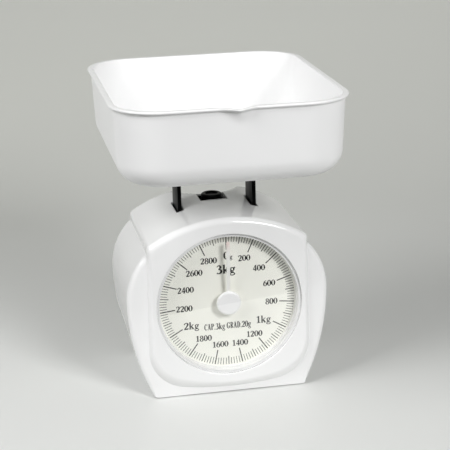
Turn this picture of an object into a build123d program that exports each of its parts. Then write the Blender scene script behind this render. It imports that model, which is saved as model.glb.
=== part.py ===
from build123d import *
import math
import os

# Analogue kitchen scale: a white moulded case with a round dial in its front, a removable white bowl on
# two black uprights, and inside the case a sprung carriage whose rack turns the pointer's pinion.
# Millimetres. The origin is on the table under the middle of the case. +X is to the right as seen from
# the front, the dial faces -Y and +Z is up. Every piece stands where it is with an empty bowl.

os.makedirs("parts", exist_ok=True)

# Case
foot_height = 1.2
case_length = 91.0
panel_step = 4.0
wall = 2.2
base_half_width = 56.4
wing_half_width = 73.6
wing_widest_z = 74.7
wing_top_z = 110.7
core_half_width = 58.3
shoulder_z = 116.4
shoulder_radius = 4.0
arch_top_z = 133.9
wing_edge_radius = 4.0
back_edge_radius = 1.5
panel_bottom_z = 4.6
panel_flare = 1.3
panel_bow = 8.2
panel_face_bow = 14.0
panel_corner_radius = 29.0
panel_face_corner_radius = 26.0
panel_bottom_bevel = 4.6
panel_side_bevel = 3.0
panel_top_bevel = 0.6
panel_edge_radius = 2.6

# Scoop in the top, behind the zero knob
scoop_radius = 52.0
scoop_distance = 5.3
scoop_slope = 23.0

# Dial and window
dial_z = 69.1
dial_depth = 10.6
window_radius = 51.0
window_ledge = 2.2
lens_inset = 0.8
lens_thickness = 1.5
lens_clearance = 0.2
collar_wall = 3.6
card_radius = 54.0
card_thickness = 0.4
dial_plate_thickness = 2.5
dial_plate_radius = 54.2
dial_post_x = 17.0
dial_post_z = 30.0
dial_post_radius = 3.0

# Movement
full_turn_teeth = 10
gear_module = 0.4
pressure_angle = 20.0
tooth_play = 0.05
rack_addendum = 0.22
pinion_addendum = 0.36
tooth_root_gap = 0.10
pinion_gap = 4.0
pinion_width = 4.0
rack_width = 3.0
rack_back = 4.0
rack_teeth_below = 5
rack_teeth_above = 15
rack_head_height = 8.0
rack_head_margin = 1.0
rack_arm_inset = 0.5
rack_arm_margin = 1.5
shaft_radius = 0.8
shaft_end = 0.6
running_clearance = 0.05
bush_radius = 3.0
bush_flange = 1.2
bush_flange_lip = 1.0
hub_radius = 9.0
hub_thickness = 1.7
hub_gap = 1.1
hub_edge_radius = 1.2
hub_stem_radius = 2.5
hub_stem_length = 3.7
needle_length = 45.0
needle_width = 2.8
needle_tip_width = 1.8
needle_thickness = 0.8
needle_eye_wall = 2.0

# Chassis
dial_post_length = 14.0
plate_thickness = 1.5
plate_half_width = 22.0
chassis_screw_x = 48.0
chassis_screw_z = 46.0
chassis_bar_height = 8.0
boss_radius = 3.5
arm_top_z = 125.2
arm_thickness = 2.0
arm_half_width = 9.5
arm_overhang = 8.0
arm_rib_height = 3.0
arm_rib_thickness = 1.5
ear_x = 16.0
ear_thickness = 1.6
ear_half_height = 4.5
rack_window_margin = 1.5

# Parallel links
link_length = 31.0
link_pivot_gap = 4.5
upper_link_z = 107.2
lower_link_z = 45.2
link_arm_x = 20.4
link_arm_thickness = 1.8
link_eye_radius = 3.5
link_web_start = 6.0
link_web_length = 10.0
link_web_thickness = 1.5
link_pin_radius = 1.2
link_pin_end = 1.0
link_slot_play = 0.12

# Carriage and uprights
upright_x = 26.3
upright_thickness = 2.8
upright_depth = 24.5
upright_lead = 2.5
upright_bottom_z = 63.2
slot_clearance = 1.2
cheek_thickness = 2.0
cheek_gap = 14.5
cheek_depth = 26.0
cheek_bottom_z = 45.2
cheek_top_z = 119.2
cross_bar_z = 91.2
cross_bar_height = 7.0
cross_bar_depth = 3.0
rack_arm_width = 6.0
spring_plate_z = 59.2
spring_plate_thickness = 2.0
spring_plate_reach = 6.3
spring_tab_height = 7.5
spring_tab_thickness = 2.0
spring_tab_half_width = 17.0

# Springs, zero screw and knob
knob_distance = 34.8
knob_radius = 8.0
knob_top_z = 135.5
knob_bottom_z = 127.2
knob_dish_radius = 4.4
knob_dish_depth = 1.1
knob_edge_radius = 0.9
screw_radius = 2.0
screw_bottom_z = 106.2
screw_collar_radius = 4.0
screw_grip = 5.0
hanger_z = 108.7
hanger_height = 8.5
hanger_thickness = 2.5
hanger_half_width = 16.0
hanger_boss_radius = 4.5
spring_x = 12.0
spring_coil_radius = 5.1
spring_wire_radius = 0.65
spring_loop_radius = 4.0
spring_hole_radius = 1.5
spring_hole_edge = 4.0
spring_seat_play = 0.3
spring_end_hole_radius = 1.5

# Seat round the knob
seat_gap = 0.8
seat_front_gap = 2.3
seat_clearance = 0.2
seat_wall = 1.2
seat_floor = 1.2
seat_flange = 2.0
seat_top_z = 131.0
seat_hole_clearance = 1.0

# Bowl and its support
bowl_half_width = 80.4
bowl_half_length = 97.0
bowl_corner_radius = 33.0
bowl_top_z = 224.8
bowl_bottom_z = 169.4
bowl_draft = 2.2
bowl_wall = 2.0
bowl_bottom_radius = 15.5
rim_width = 2.3
rim_height = 2.3
spout_half_width = 14.0
spout_reach = 3.6
spout_depth = 11.0
spout_foot_half_width = 3.0
spout_foot_reach = 0.4
support_half_width = 38.0
support_half_length = 44.0
support_thickness = 3.5
support_corner_radius = 8.0
support_gap = 0.2
support_rib_height = 6.0
support_rib_thickness = 2.0
locating_rib_clearance = 0.6
locating_rib_height = 3.0
locating_rib_thickness = 1.6

# Rear cover, feet and fasteners. Threads aren't shaped, so a pilot hole is as wide as its screw's shank.
cover_recess = 1.0
cover_thickness = 2.2
cover_clearance = 0.3
cover_boss_low = (62.0, 49.2)
cover_boss_high = (61.0, 93.2)
boss_rib_thickness = 2.0
foot_side_inset = 12.4
foot_end_inset = 13.5
foot_radius = 5.0
foot_stem_radius = 2.4
foot_stem_clearance = 0.1
foot_barb_radius = 3.0
foot_barb_height = 1.2
screw_shank_radius = 1.3
screw_head_radius = 2.6
screw_head_height = 1.8
screw_length = 9.0
rack_screw_radius = 0.65
rack_screw_head_radius = 1.3
rack_screw_head_height = 0.9
screw_slot_width = 0.7
screw_slot_depth = 0.8
upright_screw_z = (71.2, 105.2)

# The bowl's outline, pouring lip included, is centred over the case
bowl_y = spout_reach / 2

# Planes along the depth, from the front of the panel to the back of the case
depth = case_length + panel_step
front_y = -depth / 2
back_y = depth / 2
wing_face_y = front_y + panel_step
card_front_y = front_y + dial_depth
card_back_y = card_front_y + card_thickness
dial_plate_back_y = card_back_y + dial_plate_thickness
lens_front_y = front_y + lens_inset
lens_back_y = lens_front_y + lens_thickness
pinion_y = dial_plate_back_y + pinion_gap + pinion_width / 2
plate_y = dial_plate_back_y + dial_post_length
plate_back_y = plate_y + plate_thickness
cheek_front_y = plate_back_y + cheek_gap
cheek_back_y = cheek_front_y + cheek_depth
upright_front_y = cheek_front_y - upright_lead
upright_screw_y = upright_front_y + upright_depth / 2
knob_y = plate_back_y + knob_distance
scoop_start_y = knob_y + scoop_distance
spring_plate_front_y = knob_y - spring_plate_reach
cover_back_y = back_y - cover_recess
cover_front_y = cover_back_y - cover_thickness
foot_x = base_half_width - foot_side_inset
foot_y = back_y - foot_end_inset

# The rack falls by one pinion circumference as the load goes from nothing to the full 3 kg
pitch = math.pi * gear_module
pitch_radius = full_turn_teeth * gear_module / 2
travel = pitch * full_turn_teeth
link_tilt = math.degrees(math.asin(travel / 2 / link_length))
link_reach = link_length * math.cos(math.radians(link_tilt))
link_pivot_y = plate_back_y + link_pivot_gap
carriage_pin_y = link_pivot_y + (link_length + link_reach) / 2
link_rise = travel / 2

# Opening for the knob's seat, round the knob
seat_margin = seat_gap + seat_wall + seat_clearance
seat_half_width = knob_radius + seat_margin
seat_front_y = knob_y - knob_radius - seat_margin - seat_front_gap + seat_gap
seat_back_y = knob_y + knob_radius + seat_margin


def upright_plane(y):
    """The plane across the case at depth y, with its normal to the front."""
    return Plane(origin=(0, y, 0), x_dir=(1, 0, 0), z_dir=(0, -1, 0))


def level_plane(z):
    """The horizontal plane at height z."""
    return Plane.XY.offset(z)


def side_plane(x):
    """The plane along the case at x, with Y to its right and its normal to +X."""
    return Plane(origin=(x, 0, 0), x_dir=(0, 1, 0), z_dir=(1, 0, 0))


def finish(piece, name):
    """Labels a finished piece and writes it to its own file."""
    piece.part.label = name
    export_step(piece.part, "parts/" + name + ".step")


def bulge_radius(half_width, height):
    """Radius of an arc that starts square to its width and ends half_width in and height away."""
    return (half_width**2 + height**2) / (2 * half_width)


lower_wing_radius = bulge_radius(wing_half_width - base_half_width, wing_widest_z - foot_height)
upper_wing_radius = bulge_radius(wing_half_width - core_half_width, wing_top_z - wing_widest_z)
arch_radius = bulge_radius(arch_top_z - shoulder_z, core_half_width)


def wing_half_width_at(z):
    """Half the width of the case at height z."""
    radius = lower_wing_radius if z < wing_widest_z else upper_wing_radius
    return wing_half_width - radius + math.sqrt(radius**2 - (z - wing_widest_z) ** 2)


def case_outline(inset):
    """Front outline of the case: a flat base, two bulging wings and an arched core, drawn in by inset."""
    base_z = foot_height + inset
    base_middle_x = wing_half_width - lower_wing_radius
    base_x = base_middle_x + math.sqrt((lower_wing_radius - inset) ** 2 - (wing_widest_z - base_z) ** 2)
    core_x = core_half_width - inset
    top_middle_x = wing_half_width - upper_wing_radius
    top_z = wing_widest_z + math.sqrt((upper_wing_radius - inset) ** 2 - (core_x - top_middle_x) ** 2)
    arch_middle_z = arch_top_z - arch_radius
    arch_end_z = arch_middle_z + math.sqrt((arch_radius - inset) ** 2 - core_x**2)
    with BuildLine() as edge:
        Line((-base_x, base_z), (base_x, base_z))
        for side in (1, -1):
            widest = (side * (wing_half_width - inset), wing_widest_z)
            TangentArc(widest, (side * base_x, base_z), tangent=(0, -1))
            TangentArc(widest, (side * core_x, top_z), tangent=(0, 1))
            Line((side * core_x, top_z), (side * core_x, arch_end_z))
        ThreePointArc((-core_x, arch_end_z), (0, arch_top_z - inset), (core_x, arch_end_z))
    outline = make_face(edge.edges())
    shoulders = outline.vertices().filter_by(lambda v: v.Y > arch_end_z - 0.01)
    fillet(shoulders, max(shoulder_radius - inset, wall / 4))


def panel_outline(side_inset, bottom_inset, top_inset, bow, corner_radius):
    """Outline of the raised front panel: bowed base, round lower corners, flared sides, arched top."""
    top_half_width = core_half_width - side_inset
    foot_half_width = top_half_width + panel_flare
    bottom = panel_bottom_z + bottom_inset
    shoulder = shoulder_z - top_inset
    corner = bottom + bow
    with BuildLine() as edge:
        ThreePointArc((-foot_half_width, corner), (0, bottom), (foot_half_width, corner))
        Line((foot_half_width, corner), (top_half_width, shoulder))
        ThreePointArc((top_half_width, shoulder), (0, arch_top_z - top_inset), (-top_half_width, shoulder))
        Line((-top_half_width, shoulder), (-foot_half_width, corner))
    outline = make_face(edge.edges())
    fillet(outline.vertices().group_by(Axis.Y)[0], corner_radius)
    fillet(outline.vertices().group_by(Axis.Y)[-1], shoulder_radius - top_inset)


def panel_face_outline(inset):
    """Outline of the panel's flat face, drawn in by inset."""
    side = panel_side_bevel + inset
    bottom = panel_bottom_bevel + inset
    panel_outline(side, bottom, panel_top_bevel + inset, panel_face_bow, panel_face_corner_radius - inset)


def add_scoop(growth, mode):
    """The tilted cylinder that hollows the top of the case, running down to the back."""
    slope = math.radians(scoop_slope)
    along = (0, math.cos(slope), -math.sin(slope))
    middle_y = scoop_start_y + scoop_radius * math.sin(slope)
    middle = (0, middle_y, arch_top_z + scoop_radius * math.cos(slope))
    with BuildSketch(Plane(origin=middle, x_dir=(1, 0, 0), z_dir=along)) as section:
        Circle(scoop_radius + growth)
    extrude(section.sketch, amount=case_length, both=True, mode=mode)


def cylinder_along_y(x, z, radius, y_start, y_end, mode=Mode.ADD):
    """A round bar or hole from y_start back to y_end."""
    with BuildSketch(upright_plane(y_end)) as section:
        with Locations((x, z)):
            Circle(radius)
    extrude(section.sketch, amount=y_end - y_start, mode=mode)


def cylinder_along_z(x, y, radius, z_start, z_end, mode=Mode.ADD):
    """A round bar or hole from z_start up to z_end."""
    with BuildSketch(level_plane(z_start)) as section:
        with Locations((x, y)):
            Circle(radius)
    extrude(section.sketch, amount=z_end - z_start, mode=mode)


def cylinder_along_x(y, z, radius, x_start, x_end, mode=Mode.ADD):
    """A round bar or hole from x_start across to x_end."""
    with BuildSketch(side_plane(x_start)) as section:
        with Locations((y, z)):
            Circle(radius)
    extrude(section.sketch, amount=x_end - x_start, mode=mode)


def block(x_range, y_range, z_range, mode=Mode.ADD):
    """A rectangular block between two corners."""
    middle = [(low + high) / 2 for low, high in (x_range, y_range, z_range)]
    size = [high - low for low, high in (x_range, y_range, z_range)]
    with Locations(tuple(middle)):
        Box(*size, mode=mode)


chassis_screw_places = [
    (side * chassis_screw_x, dial_z + up * chassis_screw_z) for side in (-1, 1) for up in (-1, 1)
]
cover_screw_places = [
    (side * place[0], place[1]) for side in (-1, 1) for place in (cover_boss_low, cover_boss_high)
]

# Case cavity: everything inside the wall, kept clear of the scoop
with BuildPart() as cavity:
    with BuildSketch(upright_plane(back_y)):
        case_outline(wall)
    extrude(amount=back_y - wing_face_y - wall)
    with BuildSketch(upright_plane(wing_face_y + wall)):
        panel_face_outline(wall / 2)
    extrude(amount=panel_step)
    add_scoop(wall, Mode.SUBTRACT)

with BuildPart() as body_shell:
    with BuildSketch(upright_plane(back_y)):
        case_outline(0)
    extrude(amount=case_length)
    wing_edges = body_shell.faces().sort_by(Axis.Y)[0].edges().filter_by(GeomType.CIRCLE)
    fillet(wing_edges.filter_by(lambda e: e.center().Z < wing_top_z), wing_edge_radius)
    fillet(body_shell.faces().sort_by(Axis.Y)[-1].edges(), back_edge_radius)
    with BuildSketch(upright_plane(wing_face_y)):
        panel_outline(0, 0, 0, panel_bow, panel_corner_radius)
    with BuildSketch(upright_plane(front_y)):
        panel_face_outline(0)
    loft(ruled=True)
    fillet(body_shell.faces().sort_by(Axis.Y)[0].edges(), panel_edge_radius)
    add_scoop(0, Mode.SUBTRACT)
    add(cavity.part, mode=Mode.SUBTRACT)
    # Collar behind the window, with a pocket in front for the lens
    cylinder_along_y(0, dial_z, window_radius + collar_wall, front_y + wall, card_front_y)
    cylinder_along_y(0, dial_z, window_radius, front_y, card_front_y, Mode.SUBTRACT)
    cylinder_along_y(0, dial_z, window_radius + window_ledge, front_y, lens_back_y, Mode.SUBTRACT)
    # Bosses for the chassis and for the rear cover, each cover boss with a rib to the side wall
    for x, z in chassis_screw_places:
        cylinder_along_y(x, z, boss_radius, front_y + wall / 2, plate_y)
        cylinder_along_y(x, z, screw_shank_radius, plate_y - screw_length, plate_y, Mode.SUBTRACT)
    for x, z in cover_screw_places:
        cylinder_along_y(x, z, boss_radius, wing_face_y + wall / 2, cover_front_y)
        wall_x = math.copysign(wing_half_width_at(z) - wall / 2, x)
        rib_z = (z - boss_rib_thickness / 2, z + boss_rib_thickness / 2)
        block((min(x, wall_x), max(x, wall_x)), (wing_face_y + wall / 2, cover_front_y), rib_z)
        cylinder_along_y(x, z, screw_shank_radius, cover_front_y - screw_length, cover_front_y, Mode.SUBTRACT)
    # Openings in the top for the knob and the two uprights
    block((-seat_half_width, seat_half_width), (seat_front_y, seat_back_y), (arm_top_z, knob_top_z), Mode.SUBTRACT)
    for side in (-1, 1):
        near = side * (upright_x - slot_clearance)
        far = side * (upright_x + upright_thickness + slot_clearance)
        slot_y = (upright_front_y - slot_clearance, upright_front_y + upright_depth + slot_clearance)
        block((min(near, far), max(near, far)), slot_y, (cheek_top_z, knob_top_z), Mode.SUBTRACT)
    # Holes for the feet
    for x in (-foot_x, foot_x):
        for y in (-foot_y, foot_y):
            hole_radius = foot_stem_radius + foot_stem_clearance
            cylinder_along_z(x, y, hole_radius, 0, foot_height + wall, Mode.SUBTRACT)
finish(body_shell, "body_shell")

with BuildPart() as rear_cover:
    with BuildSketch(upright_plane(cover_back_y)):
        case_outline(wall + cover_clearance)
    extrude(amount=cover_thickness)
    add_scoop(wall + cover_clearance, Mode.SUBTRACT)
    for x, z in cover_screw_places:
        cylinder_along_y(x, z, screw_shank_radius + running_clearance, cover_front_y, cover_back_y, Mode.SUBTRACT)
finish(rear_cover, "rear_cover")


def screws_along_y(places, seat_y):
    """Pan-head screws with a straight slot, their heads behind seat_y and their shanks in front of it."""
    for x, z in places:
        cylinder_along_y(x, z, screw_shank_radius, seat_y - screw_length, seat_y)
        cylinder_along_y(x, z, screw_head_radius, seat_y, seat_y + screw_head_height)
        slot_x = (x - screw_head_radius, x + screw_head_radius)
        slot_y = (seat_y + screw_head_height - screw_slot_depth, seat_y + screw_head_height)
        block(slot_x, slot_y, (z - screw_slot_width / 2, z + screw_slot_width / 2), Mode.SUBTRACT)


with BuildPart() as cover_screws:
    screws_along_y(cover_screw_places, cover_back_y)
finish(cover_screws, "cover_screws")

for row, y in (("front", -foot_y), ("rear", foot_y)):
    for hand, x in (("left", -foot_x), ("right", foot_x)):
        with BuildPart() as foot:
            cylinder_along_z(x, y, foot_radius, 0, foot_height)
            cylinder_along_z(x, y, foot_stem_radius, foot_height, foot_height + wall)
            barb_z = foot_height + wall
            cylinder_along_z(x, y, foot_barb_radius, barb_z, barb_z + foot_barb_height)
        finish(foot, "foot_" + row + "_" + hand)

with BuildPart() as dial_lens:
    lens_radius = window_radius + window_ledge - lens_clearance
    cylinder_along_y(0, dial_z, lens_radius, lens_front_y, lens_back_y)
finish(dial_lens, "dial_lens")

with BuildPart() as dial_card:
    cylinder_along_y(0, dial_z, card_radius, card_front_y, card_back_y)
    cylinder_along_y(0, dial_z, bush_radius, card_front_y, card_back_y, Mode.SUBTRACT)
finish(dial_card, "dial_card")

with BuildPart() as dial_plate:
    cylinder_along_y(0, dial_z, dial_plate_radius, card_back_y, dial_plate_back_y)
    for x in (-dial_post_x, dial_post_x):
        for z in (dial_z - dial_post_z, dial_z + dial_post_z):
            cylinder_along_y(x, z, dial_post_radius, dial_plate_back_y, plate_y)
    cylinder_along_y(0, dial_z, bush_radius, card_back_y, dial_plate_back_y, Mode.SUBTRACT)
finish(dial_plate, "dial_plate")

with BuildPart() as front_bush:
    cylinder_along_y(0, dial_z, bush_radius, card_back_y, dial_plate_back_y)
    flange_y = dial_plate_back_y + bush_flange
    cylinder_along_y(0, dial_z, bush_radius + bush_flange_lip, dial_plate_back_y, flange_y)
    cylinder_along_y(0, dial_z, shaft_radius + running_clearance, card_back_y, flange_y, Mode.SUBTRACT)
finish(front_bush, "front_bush")

# Rack and its arm: the arm reaches forward through a window in the chassis plate
rack_back_x = pitch_radius + pinion_addendum + tooth_root_gap + rack_back
rack_bottom_z = dial_z - rack_teeth_below * pitch
rack_top_z = dial_z + rack_teeth_above * pitch
rack_back_y = pinion_y + rack_width / 2
rack_arm_near_x = rack_back_x - rack_back + rack_arm_inset
rack_arm_x = (rack_arm_near_x, rack_arm_near_x + rack_arm_width)
rack_arm_z = (cross_bar_z + rack_arm_margin, cross_bar_z + cross_bar_height - rack_arm_margin)

with BuildPart() as chassis_plate:
    with BuildSketch(upright_plane(plate_back_y)):
        top_bar_z = dial_z + chassis_screw_z
        bottom_bar_z = dial_z - chassis_screw_z
        with Locations((0, (bottom_bar_z + arm_top_z) / 2)):
            Rectangle(2 * plate_half_width, arm_top_z - bottom_bar_z)
        for z in (bottom_bar_z, top_bar_z):
            with Locations((0, z)):
                SlotCenterToCenter(2 * chassis_screw_x, chassis_bar_height)
        window_x = (rack_arm_x[0] - rack_window_margin, rack_arm_x[1] + rack_window_margin)
        window_z = (rack_arm_z[0] - travel - rack_window_margin, rack_arm_z[1] + rack_window_margin)
        with Locations(((window_x[0] + window_x[1]) / 2, (window_z[0] + window_z[1]) / 2)):
            Rectangle(window_x[1] - window_x[0], window_z[1] - window_z[0], mode=Mode.SUBTRACT)
        with Locations((0, dial_z)):
            Circle(bush_radius, mode=Mode.SUBTRACT)
        with Locations(*chassis_screw_places):
            Circle(screw_shank_radius + running_clearance, mode=Mode.SUBTRACT)
    extrude(amount=plate_thickness)
    # Ears that carry the link shafts
    for z in (upper_link_z, lower_link_z):
        for side in (-1, 1):
            near, far = side * ear_x, side * (ear_x + ear_thickness)
            ear_end_y = link_pivot_y + link_eye_radius
            ear_z = (z - ear_half_height, z + ear_half_height)
            block((min(near, far), max(near, far)), (plate_back_y, ear_end_y), ear_z)
            ear_x_range = (min(near, far), max(near, far))
            cylinder_along_x(link_pivot_y, z, link_pin_radius, *ear_x_range, Mode.SUBTRACT)
    # Arm over the springs, folded back from the top of the plate, with a rib along each edge
    arm_end_y = knob_y + arm_overhang
    block((-arm_half_width, arm_half_width), (plate_y, arm_end_y), (arm_top_z - arm_thickness, arm_top_z))
    for side in (-1, 1):
        near, far = side * (arm_half_width - arm_rib_thickness), side * arm_half_width
        rib_z = (arm_top_z - arm_thickness - arm_rib_height, arm_top_z - arm_thickness)
        block((min(near, far), max(near, far)), (plate_back_y, arm_end_y), rib_z)
    hole_z = (arm_top_z - arm_thickness, arm_top_z)
    cylinder_along_z(0, knob_y, screw_radius + running_clearance, *hole_z, Mode.SUBTRACT)
finish(chassis_plate, "chassis_plate")

with BuildPart() as chassis_screws:
    screws_along_y(chassis_screw_places, plate_back_y)
finish(chassis_screws, "chassis_screws")

with BuildPart() as rear_bush:
    cylinder_along_y(0, dial_z, bush_radius, plate_y, plate_back_y)
    flange_y = plate_back_y + bush_flange
    cylinder_along_y(0, dial_z, bush_radius + bush_flange_lip, plate_back_y, flange_y)
    cylinder_along_y(0, dial_z, shaft_radius + running_clearance, plate_y, flange_y, Mode.SUBTRACT)
finish(rear_bush, "rear_bush")

for name, z in (("upper_link_shaft", upper_link_z), ("lower_link_shaft", lower_link_z)):
    with BuildPart() as link_shaft:
        shaft_half_length = link_arm_x + link_arm_thickness + link_pin_end
        cylinder_along_x(link_pivot_y, z, link_pin_radius, -shaft_half_length, shaft_half_length)
    finish(link_shaft, name)

for name, z in (("upper_link", upper_link_z), ("lower_link", lower_link_z)):
    with BuildPart() as link:
        tilt = math.radians(link_tilt)
        along = (0, math.cos(tilt), math.sin(tilt))
        link_plane = Plane(origin=(0, link_pivot_y, z), x_dir=along, z_dir=(1, 0, 0))
        for start_x in (link_arm_x, -link_arm_x - link_arm_thickness):
            with BuildSketch(link_plane.offset(start_x)):
                with Locations((link_length / 2, 0)):
                    SlotCenterToCenter(link_length, 2 * link_eye_radius)
                Circle(link_pin_radius + running_clearance, mode=Mode.SUBTRACT)
                with Locations((link_length, 0)):
                    slot_length = link_length - link_reach + 4 * link_slot_play
                    slot_height = 2 * (link_pin_radius + link_slot_play)
                    SlotCenterToCenter(slot_length, slot_height, mode=Mode.SUBTRACT)
            extrude(amount=link_arm_thickness)
        with BuildSketch(link_plane.offset(-link_arm_x)):
            with Locations((link_web_start + link_web_length / 2, 0)):
                Rectangle(link_web_length, link_web_thickness)
        extrude(amount=2 * link_arm_x)
    finish(link, name)

with BuildPart() as carriage_frame:
    for side in (-1, 1):
        near, far = side * (upright_x - cheek_thickness), side * upright_x
        cheek_x = (min(near, far), max(near, far))
        block(cheek_x, (cheek_front_y, cheek_back_y), (cheek_bottom_z, cheek_top_z))
        for z in (upper_link_z + link_rise, lower_link_z + link_rise):
            cylinder_along_x(carriage_pin_y, z, link_pin_radius, *cheek_x, Mode.SUBTRACT)
        for z in upright_screw_z:
            cylinder_along_x(upright_screw_y, z, screw_shank_radius, *cheek_x, Mode.SUBTRACT)
    inside = (-upright_x + cheek_thickness, upright_x - cheek_thickness)
    bar_y = (cheek_front_y, cheek_front_y + cross_bar_depth)
    block(inside, bar_y, (cross_bar_z, cross_bar_z + cross_bar_height))
    plate_z = (spring_plate_z, spring_plate_z + spring_plate_thickness)
    block(inside, (spring_plate_front_y, cheek_back_y), plate_z)
    tab_y = (knob_y - spring_tab_thickness / 2, knob_y + spring_tab_thickness / 2)
    tab_z = (plate_z[1], plate_z[1] + spring_tab_height)
    block((-spring_tab_half_width, spring_tab_half_width), tab_y, tab_z)
    lower_hole_z = plate_z[1] + spring_hole_edge
    for x in (-spring_x, spring_x):
        cylinder_along_y(x, lower_hole_z, spring_hole_radius, *tab_y, Mode.SUBTRACT)
    block(rack_arm_x, (rack_back_y, cheek_front_y), rack_arm_z)
    rack_screw_place = [(sum(rack_arm_x) / 2, sum(rack_arm_z) / 2)]
    for x, z in rack_screw_place:
        cylinder_along_y(x, z, rack_screw_radius, rack_back_y, rack_back_y + screw_length, Mode.SUBTRACT)
finish(carriage_frame, "carriage_frame")

with BuildPart() as link_pins:
    for side in (-1, 1):
        near, far = side * (link_arm_x - link_pin_end), side * upright_x
        for z in (upper_link_z + link_rise, lower_link_z + link_rise):
            cylinder_along_x(carriage_pin_y, z, link_pin_radius, min(near, far), max(near, far))
finish(link_pins, "link_pins")

support_top_z = bowl_bottom_z - support_gap
support_bottom_z = support_top_z - support_thickness
for name, side in (("left_upright", -1), ("right_upright", 1)):
    with BuildPart() as upright:
        near, far = side * upright_x, side * (upright_x + upright_thickness)
        upright_y = (upright_front_y, upright_front_y + upright_depth)
        upright_x_range = (min(near, far), max(near, far))
        block(upright_x_range, upright_y, (upright_bottom_z, support_bottom_z))
        for z in upright_screw_z:
            cylinder_along_x(upright_screw_y, z, screw_shank_radius, *upright_x_range, Mode.SUBTRACT)
    finish(upright, name)

with BuildPart() as upright_screws:
    for side in (-1, 1):
        outside = side * (upright_x + upright_thickness)
        inside_end = side * (upright_x - cheek_thickness)
        head_end = side * (upright_x + upright_thickness + screw_head_height)
        for z in upright_screw_z:
            shank_x = (min(outside, inside_end), max(outside, inside_end))
            cylinder_along_x(upright_screw_y, z, screw_shank_radius, *shank_x)
            head_x = (min(outside, head_end), max(outside, head_end))
            cylinder_along_x(upright_screw_y, z, screw_head_radius, *head_x)
finish(upright_screws, "upright_screws")

with BuildPart() as bowl_support:
    with BuildSketch(level_plane(support_bottom_z)):
        with Locations((0, bowl_y)):
            RectangleRounded(2 * support_half_width, 2 * support_half_length, support_corner_radius)
    extrude(amount=support_thickness)
    for side in (-1, 1):
        near = side * (upright_x + upright_thickness)
        far = near + side * support_rib_thickness
        rib_y = (upright_front_y - support_rib_thickness, upright_front_y + upright_depth)
        rib_z = (support_bottom_z - support_rib_height, support_bottom_z)
        block((min(near, far), max(near, far)), rib_y, rib_z)
finish(bowl_support, "bowl_support")

with BuildPart() as rack:
    with BuildSketch(upright_plane(rack_back_y)):
        root_x = pitch_radius + pinion_addendum + tooth_root_gap
        with Locations(((root_x + rack_back_x) / 2, (rack_bottom_z + rack_top_z) / 2)):
            Rectangle(rack_back_x - root_x, rack_top_z - rack_bottom_z)
        slope = math.tan(math.radians(pressure_angle))
        half_thickness = (pitch / 2 - tooth_play) / 2
        tip_x = pitch_radius - rack_addendum
        tip_half = half_thickness - rack_addendum * slope
        root_half = half_thickness + (root_x - pitch_radius) * slope
        for number in range(-rack_teeth_below, rack_teeth_above):
            tooth_z = dial_z + (number + 0.5) * pitch
            with BuildLine():
                Polyline(
                    (root_x, tooth_z - root_half),
                    (tip_x, tooth_z - tip_half),
                    (tip_x, tooth_z + tip_half),
                    (root_x, tooth_z + root_half),
                    close=True,
                )
            make_face()
    extrude(amount=rack_width)
    head_z = (rack_top_z, max(rack_top_z + rack_head_height, rack_arm_z[1] + rack_head_margin))
    block((root_x, rack_arm_x[1]), (rack_back_y - rack_width, rack_back_y), head_z)
    for x, z in rack_screw_place:
        cylinder_along_y(x, z, rack_screw_radius, rack_back_y - rack_width, rack_back_y, Mode.SUBTRACT)
finish(rack, "rack")

with BuildPart() as rack_screw:
    for x, z in rack_screw_place:
        head_y = rack_back_y - rack_width
        cylinder_along_y(x, z, rack_screw_radius, head_y, rack_back_y + screw_length)
        cylinder_along_y(x, z, rack_screw_head_radius, head_y - rack_screw_head_height, head_y)
finish(rack_screw, "rack_screw")

with BuildPart() as pinion:
    base_radius = pitch_radius * math.cos(math.radians(pressure_angle))
    tip_radius = pitch_radius + pinion_addendum
    root_radius = pitch_radius - rack_addendum - tooth_root_gap

    def tooth_half_angle(radius):
        """Half the angle that a tooth takes up at a radius on its involute flank."""
        turned = math.radians(pressure_angle)
        there = math.acos(base_radius / radius)
        at_pitch = (pitch / 2 - tooth_play) / (2 * pitch_radius)
        return at_pitch + math.tan(turned) - turned - math.tan(there) + there

    def gear_point(radius, angle):
        """A point of the pinion's outline."""
        return (radius * math.cos(angle), dial_z + radius * math.sin(angle))

    with BuildSketch(upright_plane(pinion_y + pinion_width / 2)):
        with BuildLine():
            for number in range(full_turn_teeth):
                middle = number * 2 * math.pi / full_turn_teeth
                following = middle + 2 * math.pi / full_turn_teeth
                flank = (base_radius, (base_radius + tip_radius) / 2, tip_radius)
                half = [tooth_half_angle(radius) for radius in flank]
                low = [gear_point(radius, middle - turn) for radius, turn in zip(flank, half)]
                high = [gear_point(radius, middle + turn) for radius, turn in zip(flank, half)]
                Line(gear_point(root_radius, middle - half[0]), low[0])
                ThreePointArc(*low)
                ThreePointArc(low[2], gear_point(tip_radius, middle), high[2])
                ThreePointArc(*high)
                Line(high[0], gear_point(root_radius, middle + half[0]))
                ThreePointArc(
                    gear_point(root_radius, middle + half[0]),
                    gear_point(root_radius, (middle + following) / 2),
                    gear_point(root_radius, following - half[0]),
                )
        make_face()
        with Locations((0, dial_z)):
            Circle(shaft_radius, mode=Mode.SUBTRACT)
    extrude(amount=pinion_width)
finish(pinion, "pinion")

hub_front_y = lens_back_y + hub_gap
hub_back_y = hub_front_y + hub_thickness
with BuildPart() as pointer_shaft:
    shaft_front_y = hub_front_y + hub_thickness / 2
    cylinder_along_y(0, dial_z, shaft_radius, shaft_front_y, plate_back_y + bush_flange + shaft_end)
finish(pointer_shaft, "pointer_shaft")

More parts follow.
